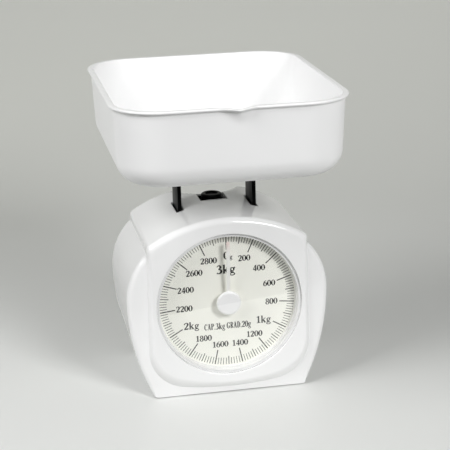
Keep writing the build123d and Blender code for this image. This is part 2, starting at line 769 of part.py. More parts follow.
with BuildPart() as pointer_hub:
    cylinder_along_y(0, dial_z, hub_radius, hub_front_y, hub_back_y)
    fillet(pointer_hub.faces().sort_by(Axis.Y)[0].edges(), hub_edge_radius)
    cylinder_along_y(0, dial_z, hub_stem_radius, hub_back_y, hub_back_y + hub_stem_length)
    cylinder_along_y(0, dial_z, shaft_radius, shaft_front_y, hub_back_y + hub_stem_length, Mode.SUBTRACT)
finish(pointer_hub, "pointer_hub")

with BuildPart() as pointer_needle:
    with BuildSketch(upright_plane(hub_back_y + needle_thickness)):
        with Locations((0, dial_z)):
            Circle(hub_stem_radius + needle_eye_wall)
        with BuildLine():
            Polyline(
                (-needle_width / 2, dial_z),
                (-needle_tip_width / 2, dial_z + needle_length),
                (needle_tip_width / 2, dial_z + needle_length),
                (needle_width / 2, dial_z),
                close=True,
            )
        make_face()
        with Locations((0, dial_z)):
            Circle(hub_stem_radius, mode=Mode.SUBTRACT)
    extrude(amount=needle_thickness)
finish(pointer_needle, "pointer_needle")

hanger_hole_z = hanger_z + spring_hole_edge
with BuildPart() as spring_hanger:
    bar_y = (knob_y - hanger_thickness / 2, knob_y + hanger_thickness / 2)
    block((-hanger_half_width, hanger_half_width), bar_y, (hanger_z, hanger_z + hanger_height))
    cylinder_along_z(0, knob_y, hanger_boss_radius, hanger_z, hanger_z + hanger_height)
    hole_z = (hanger_z, hanger_z + hanger_height)
    cylinder_along_z(0, knob_y, screw_radius + running_clearance, *hole_z, Mode.SUBTRACT)
    for x in (-spring_x, spring_x):
        cylinder_along_y(x, hanger_hole_z, spring_hole_radius, *bar_y, Mode.SUBTRACT)
finish(spring_hanger, "spring_hanger")

# Each spring's loops pull towards each other, so they lie against the near edges of their holes
loop_shift = spring_hole_radius - spring_wire_radius - spring_seat_play
upper_loop_z = hanger_hole_z - loop_shift - spring_loop_radius
lower_loop_z = lower_hole_z + loop_shift + spring_loop_radius
coil_end_gap = spring_loop_radius - spring_wire_radius
coil_z = (lower_loop_z + coil_end_gap, upper_loop_z - coil_end_gap)
for name, x in (("left_spring", -spring_x), ("right_spring", spring_x)):
    with BuildPart() as spring:
        outer = spring_coil_radius + spring_wire_radius
        inner = spring_coil_radius - spring_wire_radius
        turn = 2 * spring_wire_radius
        cylinder_along_z(x, knob_y, outer, *coil_z)
        cylinder_along_z(x, knob_y, inner, coil_z[0] + turn, coil_z[1] - turn, Mode.SUBTRACT)
        cylinder_along_z(x, knob_y, spring_end_hole_radius, *coil_z, Mode.SUBTRACT)
        for z in (lower_loop_z, upper_loop_z):
            with BuildSketch(Plane(origin=(x, knob_y, z), x_dir=(0, 0, 1), z_dir=(0, -1, 0))):
                with Locations((spring_loop_radius, 0)):
                    Circle(spring_wire_radius)
            revolve(axis=Axis((x, knob_y, z), (1, 0, 0)), revolution_arc=360)
    finish(spring, name)

with BuildPart() as zero_screw:
    cylinder_along_z(0, knob_y, screw_radius, screw_bottom_z, knob_bottom_z + screw_grip)
    cylinder_along_z(0, knob_y, screw_collar_radius, arm_top_z, knob_bottom_z)
finish(zero_screw, "zero_screw")

with BuildPart() as zero_knob:
    cylinder_along_z(0, knob_y, knob_radius, knob_bottom_z, knob_top_z)
    fillet(zero_knob.faces().sort_by(Axis.Z)[-1].edges(), knob_edge_radius)
    cylinder_along_z(0, knob_y, knob_dish_radius, knob_top_z - knob_dish_depth, knob_top_z, Mode.SUBTRACT)
    cylinder_along_z(0, knob_y, screw_radius, knob_bottom_z, knob_bottom_z + screw_grip, Mode.SUBTRACT)
finish(zero_knob, "zero_knob")

with BuildPart() as knob_seat:
    outer_x = (-seat_half_width + seat_clearance, seat_half_width - seat_clearance)
    outer_y = (seat_front_y + seat_clearance, seat_back_y - seat_clearance)
    block(outer_x, outer_y, (arm_top_z, seat_top_z))
    flange_x = (outer_x[0] - seat_flange, outer_x[1] + seat_flange)
    flange_y = (outer_y[0] - seat_flange, outer_y[1] + seat_flange)
    block(flange_x, flange_y, (arm_top_z, arm_top_z + seat_floor))
    inner_x = (outer_x[0] + seat_wall, outer_x[1] - seat_wall)
    inner_y = (outer_y[0] + seat_wall, outer_y[1] - seat_wall)
    block(inner_x, inner_y, (arm_top_z + seat_floor, seat_top_z), Mode.SUBTRACT)
    hole_radius = screw_collar_radius + seat_hole_clearance
    cylinder_along_z(0, knob_y, hole_radius, arm_top_z, arm_top_z + seat_floor, Mode.SUBTRACT)
finish(knob_seat, "knob_seat")


def bowl_section(z, inset):
    """Rounded rectangle of the bowl's outside at height z, drawn in by inset."""
    taper = (bowl_top_z - z) * math.tan(math.radians(bowl_draft)) + inset
    with BuildSketch(Plane(origin=(0, bowl_y, z), x_dir=(1, 0, 0), z_dir=(0, 0, 1))) as section:
        width = 2 * (bowl_half_width - taper)
        length = 2 * (bowl_half_length - taper)
        RectangleRounded(width, length, bowl_corner_radius - inset)
    return section.sketch


def spout_section(z, half_width, reach, inset):
    """Outline of the pouring lip at height z: an arc that bulges forward from the front wall."""
    lean = (bowl_top_z - z) * math.tan(math.radians(bowl_draft))
    face = bowl_y - bowl_half_length + lean + inset
    tip = face - reach
    back = face + 4 * bowl_wall
    with BuildSketch(level_plane(z)) as section:
        with BuildLine():
            Polyline((-half_width, face), (-half_width, back), (half_width, back), (half_width, face))
            ThreePointArc((half_width, face), (0, tip), (-half_width, face))
        make_face()
    return section.sketch


def spout_form(inset):
    """The pouring lip: a beak at the rim that runs into the wall lower down."""
    top = spout_section(bowl_top_z, spout_half_width - inset, spout_reach, inset)
    foot_z = bowl_top_z - spout_depth + inset
    foot = spout_section(foot_z, spout_foot_half_width - inset, spout_foot_reach, inset)
    loft([top, foot], ruled=True)


with BuildPart() as bowl_hollow:
    loft([bowl_section(bowl_bottom_z + bowl_wall, bowl_wall), bowl_section(bowl_top_z, bowl_wall)], ruled=True)
    fillet(bowl_hollow.faces().sort_by(Axis.Z)[0].edges(), bowl_bottom_radius - bowl_wall)
    spout_form(bowl_wall)

with BuildPart() as bowl:
    loft([bowl_section(bowl_bottom_z, 0), bowl_section(bowl_top_z, 0)], ruled=True)
    fillet(bowl.faces().sort_by(Axis.Z)[0].edges(), bowl_bottom_radius)
    spout_form(0)
    # Rim bead, which runs round the pouring lip too
    with BuildSketch(level_plane(bowl_top_z)):
        with Locations((0, bowl_y)):
            rim_size = (2 * (bowl_half_width + rim_width), 2 * (bowl_half_length + rim_width))
            RectangleRounded(*rim_size, bowl_corner_radius + rim_width)
    add(spout_section(bowl_top_z, spout_half_width + rim_width, spout_reach, -rim_width))
    extrude(amount=-rim_height)
    add(bowl_hollow.part, mode=Mode.SUBTRACT)
    # Locating rib under the floor, round the support
    rib_bottom_z = bowl_bottom_z - locating_rib_height
    with BuildSketch(level_plane(rib_bottom_z)):
        with Locations((0, bowl_y)):
            gap = locating_rib_clearance
            inner_size = (2 * (support_half_width + gap), 2 * (support_half_length + gap))
            edge = 2 * locating_rib_thickness
            inner_radius = support_corner_radius + gap
            outer_radius = inner_radius + locating_rib_thickness
            RectangleRounded(inner_size[0] + edge, inner_size[1] + edge, outer_radius)
            RectangleRounded(*inner_size, inner_radius, mode=Mode.SUBTRACT)
    extrude(amount=locating_rib_height)
finish(bowl, "bowl")
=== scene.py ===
import math

import bmesh
import bpy
import numpy as np
from mathutils import Matrix, Vector


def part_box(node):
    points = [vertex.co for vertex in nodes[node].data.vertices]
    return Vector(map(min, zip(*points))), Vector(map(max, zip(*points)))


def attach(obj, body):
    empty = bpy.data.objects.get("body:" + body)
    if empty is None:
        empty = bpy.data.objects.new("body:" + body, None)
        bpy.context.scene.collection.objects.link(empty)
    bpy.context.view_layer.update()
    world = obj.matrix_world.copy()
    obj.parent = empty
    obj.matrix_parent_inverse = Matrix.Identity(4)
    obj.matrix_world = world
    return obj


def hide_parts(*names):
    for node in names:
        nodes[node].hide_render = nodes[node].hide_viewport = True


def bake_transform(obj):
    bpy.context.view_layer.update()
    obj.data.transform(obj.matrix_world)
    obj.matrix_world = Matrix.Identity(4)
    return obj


# Analogue kitchen scale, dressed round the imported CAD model: a glossy moulded case, a satin bowl with a
# pouring lip, a printed dial behind a clear lens, and the black uprights and zero knob. Metres, in the CAD's
# frame: +X is to the right as seen from the front, the dial faces -Y, +Z is up.

mm = 0.001
full_turn = 2 * math.pi
quarter_turn = math.pi / 2
# Points closer than the first are merged, an edge shorter than the second goes, and two lengths or angles
# that differ by less than the third are taken as one
merge_distance, sliver_length, near = 0.0005 * mm, 0.0002 * mm, 1e-6
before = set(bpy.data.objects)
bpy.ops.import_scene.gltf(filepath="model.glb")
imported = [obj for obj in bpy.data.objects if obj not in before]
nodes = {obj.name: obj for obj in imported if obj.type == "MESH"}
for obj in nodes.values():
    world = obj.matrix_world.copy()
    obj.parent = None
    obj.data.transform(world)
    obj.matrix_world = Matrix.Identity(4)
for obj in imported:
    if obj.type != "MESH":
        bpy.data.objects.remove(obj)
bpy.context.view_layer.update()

# Places read from the frame
case_low, case_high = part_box("body_shell")
lens_low, lens_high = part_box("dial_lens")
card_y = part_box("dial_card")[0].y
hub_low, hub_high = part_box("pointer_hub")
needle_low, needle_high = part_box("pointer_needle")
knob_low, knob_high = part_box("zero_knob")
bowl_low, bowl_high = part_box("bowl")
support_low, support_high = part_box("bowl_support")
upright_low, upright_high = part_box("right_upright")
dial_z = (lens_low.z + lens_high.z) / 2
front_y, back_y = case_low.y, case_high.y
knob_y = (knob_low.y + knob_high.y) / 2
bowl_top_z = bowl_high.z
bowl_seat_gap = 0.2 * mm
bowl_floor_z = support_high.z + bowl_seat_gap


# Helpers for meshes


def points_of(*coordinates):
    """Points from one array for each coordinate; a plain number stands for a whole array of itself."""
    return np.stack(np.broadcast_arrays(*coordinates), axis=-1)


def grid_faces(rows, columns, wrap_rows=False, wrap_columns=False):
    """Quads of a grid whose vertex number is row * columns + column; a wrapped side joins its last line to
    its first."""
    row = np.arange(rows if wrap_rows else rows - 1)
    column = np.arange(columns if wrap_columns else columns - 1)
    row, column = np.meshgrid(row, column, indexing="ij")
    next_row, next_column = (row + 1) % rows, (column + 1) % columns
    corners = [(row, column), (row, next_column), (next_row, next_column), (next_row, column)]
    numbers = [at_row * columns + at_column for at_row, at_column in corners]
    return np.stack(numbers, axis=-1).reshape(-1, 4)


def capped_faces(rings, count):
    """Faces of a run of rings with count points each: the quads between them and one face over each end."""
    last = (rings - 1) * count
    ends = [tuple(range(count)), tuple(range(last, last + count))[::-1]]
    return grid_faces(rings, count, wrap_columns=True).tolist() + ends


def joined(parts):
    """Several (points, faces) surfaces as one, each face list moved on by the points before it."""
    points, faces, start = [], [], 0
    for part_points, part_faces in parts:
        points.append(np.asarray(part_points).reshape(-1, 3))
        faces += [tuple(int(number) + start for number in face) for face in part_faces]
        start += len(points[-1])
    return np.concatenate(points), faces


def mesh_piece(name, points, faces, material, body, slot=None, replaced=(), sharp=35.0):
    """A finished piece: doubles merged, faces turned outwards, edges sharper than the angle left sharp."""
    mesh = bpy.data.meshes.new(name)
    points = np.asarray(points, float).reshape(-1, 3).tolist()
    mesh.from_pydata(points, [], [list(map(int, face)) for face in faces])
    shape = bmesh.new()
    shape.from_mesh(mesh)
    bmesh.ops.remove_doubles(shape, verts=shape.verts, dist=merge_distance)
    bmesh.ops.dissolve_degenerate(shape, edges=shape.edges, dist=sliver_length)
    bmesh.ops.recalc_face_normals(shape, faces=shape.faces)
    shape.to_mesh(mesh)
    shape.free()
    mesh.polygons.foreach_set("use_smooth", np.ones(len(mesh.polygons), bool))
    mesh.set_sharp_from_angle(angle=math.radians(sharp))
    mesh.materials.append(material)
    piece = bpy.data.objects.new(name, mesh)
    bpy.context.scene.collection.objects.link(piece)
    if replaced:
        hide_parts(*replaced)
    if body:
        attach(piece, body)
    return piece


def arc(middle, radius, start, end, count):
    """Points (across, up) of a circular arc: middle + radius * (cos, sin), from start to end in radians."""
    turn = np.linspace(start, end, count)
    return points_of(middle[0] + radius * np.cos(turn), middle[1] + radius * np.sin(turn))


def smoothstep(value, low, high):
    """0 below low, 1 above high, and share * share * (3 - 2 * share) of the way between them."""
    share = np.clip((value - low) / (high - low), 0, 1)
    return share * share * (3 - 2 * share)


def revolved(profile, middle, axis, count=96):
    """Closed surface of a (radius, along) profile turned once round an axis, Y or Z, through middle. The
    profile starts and ends on the axis."""
    radius, along = np.asarray(profile, float).T
    turn = np.arange(count) * full_turn / count
    first, second, third = radius[:, None] * np.cos(turn), radius[:, None] * np.sin(turn), along[:, None]
    order = (first, second, third) if axis == "Z" else (first, third, second)
    points = points_of(*order) + np.asarray(middle)
    return points.reshape(-1, 3), grid_faces(len(radius), count, wrap_columns=True)


# Materials


def srgb(code):
    """Linear colour of an sRGB hex code."""
    parts = np.array([int(code[start : start + 2], 16) for start in (0, 2, 4)]) / 255
    linear = np.where(parts <= 0.04045, parts / 12.92, ((parts + 0.055) / 1.055) ** 2.4)
    return (*linear.tolist(), 1.0)


def add_node(tree, kind, settings):
    """Adds one shader node. Settings name its own properties or its sockets; a node or an output given for a
    socket is linked to it."""
    node = tree.nodes.new("ShaderNode" + kind)
    for key, value in settings.items():
        if isinstance(value, bpy.types.Node):
            value = value.outputs[0]
        if isinstance(value, bpy.types.NodeSocket):
            tree.links.new(value, node.inputs[key])
        elif hasattr(node, str(key)):
            setattr(node, key, value)
        else:
            node.inputs[key].default_value = value
    return node


def new_material(name, surface):
    """A material whose surface is the shader that surface(tree, place) builds, where place gives the piece's
    own coordinates."""
    material = bpy.data.materials.new(name)
    material.use_nodes = True
    tree = material.node_tree
    tree.nodes.clear()
    place = add_node(tree, "TexCoord", {}).outputs["Object"]
    add_node(tree, "OutputMaterial", {"Surface": surface(tree, place)})
    return material


def solid_finish(tree, tone, colours, settings, height=None, depth=0.0):
    """An opaque shader: its colour runs between two sRGB colours as tone runs from 0 to 1, and where height
    is given, it is relief of that depth in millimetres."""
    ends = {6: srgb(colours[0]), 7: srgb(colours[1])}
    colour = add_node(tree, "Mix", {"data_type": "RGBA", 0: tone, **ends}).outputs[2]
    if height:
        settings = {**settings, "Normal": add_node(tree, "Bump", {"Distance": depth * mm, "Height": height})}
    return add_node(tree, "BsdfPrincipled", {**settings, "Base Color": colour})


def moulded(name, colours, mottle_size, roughness, grain_size, grain_depth, settings, spread=0.05):
    """A moulded, printed or machined finish. Its colour drifts between two sRGB colours over mottle_size, its
    roughness wanders by spread, and a noise grain of grain_size gives relief of grain_depth. Sizes are in
    millimetres."""

    def surface(tree, place):
        mottle = {"Scale": 1 / (mottle_size * mm), "Detail": 3.0, "Roughness": 0.55, "Vector": place}
        cloud = add_node(tree, "TexNoise", mottle)
        limits = {"To Min": roughness - spread, "To Max": roughness + spread}
        gloss = add_node(tree, "MapRange", {**limits, "Value": cloud})
        pebble = {"Scale": 1 / (grain_size * mm), "Detail": 2.0, "Roughness": 0.5, "Vector": place}
        grain = add_node(tree, "TexNoise", pebble)
        return solid_finish(tree, cloud, colours, {**settings, "Roughness": gloss}, grain, grain_depth)

    return new_material(name, surface)


def turned_metal(name, colours, roughness, line_size):
    """Metal with fine lines left by the tool or the rolls, line_size millimetres apart: noise stretched
    across X, so the lines run along X."""
    line_stretch, line_gloss, line_depth = 0.06, 0.08, 0.01

    def surface(tree, place):
        stretched = add_node(tree, "Mapping", {"Scale": (line_stretch, 1, 1), "Vector": place})
        across = {"Scale": 1 / (line_size * mm), "Detail": 4.0, "Roughness": 0.6, "Vector": stretched}
        lines = add_node(tree, "TexNoise", across)
        limits = {"To Min": roughness - line_gloss, "To Max": roughness + line_gloss}
        gloss = add_node(tree, "MapRange", {**limits, "Value": lines})
        return solid_finish(tree, lines, colours, {"Metallic": 1.0, "Roughness": gloss}, lines, line_depth)

    return new_material(name, surface)


def clear_polystyrene(tree, place):
    """Crystal polystyrene, moulded against polished steel: clear, with a sharp sheen of the room. Light on
    its way to the dial goes straight through it, as through thin flat sheet, so the dial stays bright."""
    cloud = add_node(tree, "TexNoise", {"Scale": 1 / (30 * mm), "Detail": 2.0, "Vector": place})
    gloss = add_node(tree, "MapRange", {"To Min": 0.01, "To Max": 0.03, "Value": cloud})
    clear = {"Base Color": srgb("FEFEFE"), "IOR": 1.59, "Transmission Weight": 1.0, "Roughness": gloss}
    sheet = add_node(tree, "BsdfPrincipled", clear)
    shade = add_node(tree, "BsdfTransparent", {"Color": srgb("FCFCFC")})
    ray = add_node(tree, "LightPath", {}).outputs
    rays = {0: ray["Is Shadow Ray"], 1: ray["Is Diffuse Ray"]}
    lighting = add_node(tree, "Math", {"operation": "MAXIMUM", **rays})
    return add_node(tree, "MixShader", {0: lighting, 1: sheet, 2: shade})


def needle_enamel(tree, place):
    """Spring-steel blade with white enamel, and a faint pink index near its tip, where the blade is read."""
    height = add_node(tree, "SeparateXYZ", {0: place}).outputs["Z"]
    limits = {"From Min": needle_high.z - 6 * mm, "From Max": needle_high.z, "To Max": 0.8}
    pink = add_node(tree, "MapRange", {**limits, "Value": height})
    fleck = add_node(tree, "TexNoise", {"Scale": 1 / (0.8 * mm), "Detail": 2.0, "Vector": place})
    return solid_finish(tree, pink, ("F3F3EF", "EED9D4"), {"Roughness": 0.4}, fleck, 0.01)


# Polished-mould ABS: bright white, with a clear sheen that picks up the uprights and lamps, softened by the
# very low swell that moulded walls have
glossy_abs = moulded("glossy_white_abs", ("EEEEEE", "F2F2F2"), 60, 0.09, 14, 0.03, {"IOR": 1.53}, 0.015)
# Polypropylene from a satin mould: a touch warmer and duller, so the bowl's walls show no sharp reflections
satin_polypropylene = moulded(
    "satin_white_polypropylene", ("F4F4F4", "F7F7F7"), 50, 0.36, 0.9, 0.008, {"IOR": 1.49}
)
# The same resin on pieces that are rarely seen, a little greyer
natural_polypropylene = moulded(
    "natural_polypropylene", ("DAD9D3", "E3E2DD"), 30, 0.45, 0.8, 0.02, {"IOR": 1.49}
)
# Black ABS from a satin mould, on the uprights: a faint grey sheen at a low angle, and no clear reflection
black_sheen, dull_sheen = {"Specular IOR Level": 0.07}, {"Specular IOR Level": 0.09}
black_abs = moulded("satin_black_abs", ("050506", "0A0B0B"), 9, 0.38, 0.7, 0.01, black_sheen, 0.06)
# Black ABS from a spark-eroded mould, on the knob and its seat: dull, slightly pebbled
pebbled_black_abs = moulded("pebbled_black_abs", ("040405", "090A0A"), 6, 0.34, 0.6, 0.02, dull_sheen, 0.06)
# Cream printing card, uncoated: soft and matt, with a faint fibre mottle
printing_card = moulded("cream_printing_card", ("F6F6ED", "F9F9F1"), 2.2, 0.75, 0.35, 0.004, {"IOR": 1.45})
# Offset ink on card: not quite black, slightly sunk into the fibres at its edges
printing_ink = moulded("black_printing_ink", ("0E0E0C", "1A1A17"), 1.2, 0.60, 0.3, 0.004, {"IOR": 1.45})
# Nitrile rubber feet: dull, dusty black
nitrile_rubber = moulded("nitrile_rubber", ("1A1A19", "262625"), 4, 0.80, 0.5, 0.05, {"IOR": 1.52})
# Acetal, machined: milky and slightly waxy
natural_acetal = moulded("natural_acetal", ("DEDDD0", "E6E5DA"), 8, 0.35, 0.5, 0.01, {"IOR": 1.48})
# Zinc-plated sheet: pale bluish grey with rolling lines
zinc_steel = turned_metal("zinc_plated_steel", ("A9ADB0", "C2C5C7"), 0.38, 0.7)
# Bright nickel on turned steel, on screws and shafts: warm grey, shiny, with fine lines
nickel_steel = turned_metal("nickel_plated_steel", ("B9B8B4", "D0CFCB"), 0.22, 0.3)
# Drawn spring wire, lightly oiled: mid grey, with a soft shine
spring_wire = turned_metal("drawn_spring_wire", ("7F8082", "9A9B9C"), 0.32, 0.3)
# Free-cutting brass, turned: yellow, with fine rings
turned_brass = turned_metal("turned_brass", ("B8924A", "CDA85C"), 0.28, 0.3)
clear_lens = new_material("clear_polystyrene", clear_polystyrene)
painted_blade = new_material("painted_blade", needle_enamel)


# Case

wall = 2.2 * mm
panel_step = 4.0 * mm
wing_face_y = front_y + panel_step
base_z = case_low.z - 0.9 * mm
arch_top_z = case_high.z
wing_half_width = case_high.x
base_half_width = 56.4 * mm
wing_widest_z = 74.7 * mm
wing_top_z = 110.7 * mm
core_half_width = 58.3 * mm
shoulder_z = 116.4 * mm
shoulder_radius = 4.0 * mm
base_corner_radius = 1.5 * mm
least_radius = 0.3 * mm
wing_edge_radius = 4.0 * mm
# Where the wing is narrow, its edge takes this share of it
edge_share = 0.85
base_edge_radius = 0.5 * mm
back_edge_radius = 1.5 * mm
panel_bottom_z = 4.6 * mm
panel_flare = 1.3 * mm
panel_bow = 8.2 * mm
panel_face_bow = 14.0 * mm
panel_corner_radius = 29.0 * mm
panel_face_corner_radius = 26.0 * mm
panel_top_bevel = 0.6 * mm
panel_bottom_bevel = 5.6 * mm
panel_side_bevel = 3.6 * mm
panel_top_radius = 4.6 * mm
bevel_power = 1.8
# Angles from straight up between which the arch's quarter round gives way to the sides' bevel, and the wings'
# rounded edge to the base's
arch_fade = (math.radians(47), math.radians(58))
base_fade = (math.radians(133), math.radians(143))
scoop_radius = 52.0 * mm
# Further out than this, the scoop's side rises no more
scoop_reach = 0.999 * scoop_radius
scoop_start_y = knob_y + 5.3 * mm
scoop_slope = math.radians(23)
scoop_softness = 1.2 * mm
# A wall that slopes is thicker measured plumb
roof_wall, sloped_wall = 1.06 * wall, 1.1 * wall
window_ledge = 2.2 * mm
lens_clearance = 0.2 * mm
pocket_radius = (lens_high.x - lens_low.x) / 2 + lens_clearance
window_radius = pocket_radius - window_ledge
window_edge_radius = 0.7 * mm
collar_radius = window_radius + 3.6 * mm
# Least room between the collar behind the window, the panel's inside and the case's inside
collar_gap, skin_gap = 0.3 * mm, 0.2 * mm
# Groove in the window's wall, above the rim that holds the card flat
groove_back_y = card_y - 3.6 * mm
groove_front_y = groove_back_y - 1.1 * mm
groove_radius = window_radius + 0.5 * mm
opening_edge_radius = 0.5 * mm
slot_clearance = 1.2 * mm
slot_low_x = upright_low.x - slot_clearance
slot_high_x = upright_high.x + slot_clearance
slot_y = (upright_low.y - slot_clearance, upright_high.y + slot_clearance)
opening_half_width = 10.2 * mm
opening_y = (knob_y - 11.7 * mm, knob_y + 10.2 * mm)
openings = [
    (-opening_half_width, opening_half_width, *opening_y),
    (slot_low_x, slot_high_x, *slot_y),
    (-slot_high_x, -slot_low_x, *slot_y),
]
edge_steps = opening_edge_radius * np.array([0.0, 0.2, 0.55, 1.0])
# How far apart the points stand along the arch and the rows along the case, and how near to an opening
# none of them stands
arch_spacing, run_spacing, crowding = 2.0 * mm, 3.6 * mm, 0.5 * mm
# Cosines of the rays from straight up between which the scoop sets in, and above which the top is the roof,
# which also stands above this share of the arch's radius
scoop_fade, roof_cosine, roof_share = (0.2, 0.35), 0.3, 0.8
# Distances from the middle between which the inside's columns turn from plumb to the rays
plumb_fade = (38 * mm, 50 * mm)


def bulge_radius(half_width, height):
    """Radius of an arc that starts square to its width and ends half_width in and height away."""
    return (half_width**2 + height**2) / (2 * half_width)


lower_wing_radius = bulge_radius(wing_half_width - base_half_width, wing_widest_z - base_z)
upper_wing_radius = bulge_radius(wing_half_width - core_half_width, wing_top_z - wing_widest_z)
arch_radius = bulge_radius(arch_top_z - shoulder_z, core_half_width)
arch_middle_z = arch_top_z - arch_radius


def tangent_middle(line_start, line_end, round_middle, round_radius, corner_radius):
    """Middle of a corner arc that touches a line on its left and lies inside a circle that it also touches:
    |middle - round_middle| = round_radius - corner_radius. The solution further along the line is taken."""
    given = (line_start, line_end, round_middle)
    line_start, line_end, round_middle = (np.asarray(point, float) for point in given)
    along = (line_end - line_start) / np.linalg.norm(line_end - line_start)
    left = np.array([-along[1], along[0]])
    foot = line_start + left * corner_radius - round_middle
    half = foot @ along
    reach = math.sqrt(half**2 - foot @ foot + (round_radius - corner_radius) ** 2)
    return foot + round_middle + along * (reach - half)


def case_outline(inset, arch_x):
    """Right half of the case's front outline, drawn in by inset, from the middle of the base up to the middle
    of the arch: a base line, a rounded corner, two wing arcs, a straight side, a shoulder arc and the arch,
    which has a point at each arch_x."""
    low, core_x = base_z + inset, core_half_width - inset
    full_radii = (lower_wing_radius, upper_wing_radius, arch_radius)
    lower_round, upper_round, arch_round = (radius - inset for radius in full_radii)
    lower_x, upper_x = wing_half_width - lower_wing_radius, wing_half_width - upper_wing_radius
    corner, shoulder = (max(size - inset, least_radius) for size in (base_corner_radius, shoulder_radius))
    corner_z = low + corner
    corner_x = lower_x + math.sqrt((lower_round - corner) ** 2 - (corner_z - wing_widest_z) ** 2)
    corner_end = math.atan2(corner_z - wing_widest_z, corner_x - lower_x)
    wing_end = math.acos((core_x - upper_x) / upper_round)
    shoulder_x = core_x - shoulder
    shoulder_middle_z = arch_middle_z + math.sqrt((arch_round - shoulder) ** 2 - shoulder_x**2)
    shoulder_end = math.atan2(shoulder_middle_z - arch_middle_z, shoulder_x)
    arch_line = arch_x[arch_x < arch_round * math.cos(shoulder_end) - least_radius][::-1]
    wing_end_z = wing_widest_z + upper_round * math.sin(wing_end)
    return np.concatenate(
        [
            points_of(np.linspace(0, corner_x, 30)[:-1], low),
            arc((corner_x, corner_z), corner, -quarter_turn, corner_end, 6)[:-1],
            arc((lower_x, wing_widest_z), lower_round, corner_end, 0, 56)[:-1],
            arc((upper_x, wing_widest_z), upper_round, 0, wing_end, 34),
            points_of(core_x, np.linspace(wing_end_z, shoulder_middle_z, 8)[1:-1]),
            arc((shoulder_x, shoulder_middle_z), shoulder, 0, shoulder_end, 9),
            points_of(arch_line, arch_middle_z + np.sqrt(arch_round**2 - arch_line**2)),
        ]
    )


def panel_outline(side_inset, bottom_inset, top_inset, bow, corner_radius):
    """Right half of the raised panel's outline, from the middle of its bowed base up to the middle of its
    arch: bow arc, corner arc, flared side, shoulder arc and arch arc."""
    top_x = core_half_width - side_inset
    foot_x = top_x + panel_flare
    low = panel_bottom_z + bottom_inset
    bow_radius = bulge_radius(bow, foot_x)
    bow_middle = (0, low + bow_radius)
    shoulder = shoulder_z - top_inset
    top_radius = bulge_radius(arch_top_z - shoulder_z, top_x)
    top_middle = (0, arch_top_z - top_inset - top_radius)
    side_foot, side_top = np.array([foot_x, low + bow]), np.array([top_x, shoulder])
    round_top = max(shoulder_radius - top_inset, 0.5 * mm)
    high_middle = tangent_middle(side_foot, side_top, top_middle, top_radius, round_top)
    mirrored = [(-point[0], point[1]) for point in (side_top, side_foot, bow_middle)]
    low_middle = tangent_middle(*mirrored, bow_radius, corner_radius) * (-1, 1)
    normal = math.atan2(foot_x - top_x, shoulder - low - bow)
    bow_end = math.atan2(low_middle[1] - bow_middle[1], low_middle[0])
    top_start = math.atan2(high_middle[1] - top_middle[1], high_middle[0])
    low_corner = arc(low_middle, corner_radius, bow_end, normal, 60)
    high_corner = arc(high_middle, round_top, normal, top_start, 20)
    return np.concatenate(
        [
            arc(bow_middle, bow_radius, -quarter_turn, bow_end, 60)[:-1],
            low_corner,
            np.linspace(low_corner[-1], high_corner[0], 90)[1:-1],
            high_corner,
            arc(top_middle, top_radius, top_start, quarter_turn, 80)[1:],
        ]
    )


def ray_length(outline, turn):
    """Distance from the dial's middle to an outline along each ray; turn is measured from straight up."""
    across, up = outline[:, 0], outline[:, 1] - dial_z
    angle = np.arctan2(across, up)
    order = np.argsort(angle)
    return np.interp(np.abs(turn), angle[order], np.hypot(across, up)[order])


def scoop_height(x, y):
    """Height of the tilted cylinder that hollows the top behind the knob: its lowest line falls to the back
    at the scoop's slope, and its sides rise by R - sqrt(R^2 - x^2), measured square to that line."""
    side = np.sqrt(np.maximum(scoop_radius**2 - np.minimum(np.abs(x), scoop_reach) ** 2, 0))
    rise = (scoop_radius - side) / math.cos(scoop_slope)
    return arch_top_z - (y - scoop_start_y) * math.tan(scoop_slope) + rise


def lower_of(first, second):
    """The lower of two heights, with a rounded valley between them: (a + b - sqrt((a - b)^2 + s^2)) / 2."""
    return (first + second - np.sqrt((first - second) ** 2 + scoop_softness**2)) / 2


def with_edges(line, limits):
    """A sorted line of stations with every opening's limits and the steps of its rounded edge added, and the
    plain stations that crowd them left out."""
    kept = np.concatenate([np.concatenate([low - edge_steps, high + edge_steps]) for low, high in limits])
    far = np.min(np.abs(line[:, None] - kept[None, :]), axis=1) > crowding
    return np.unique(np.round(np.concatenate([line[far], kept]), 7))


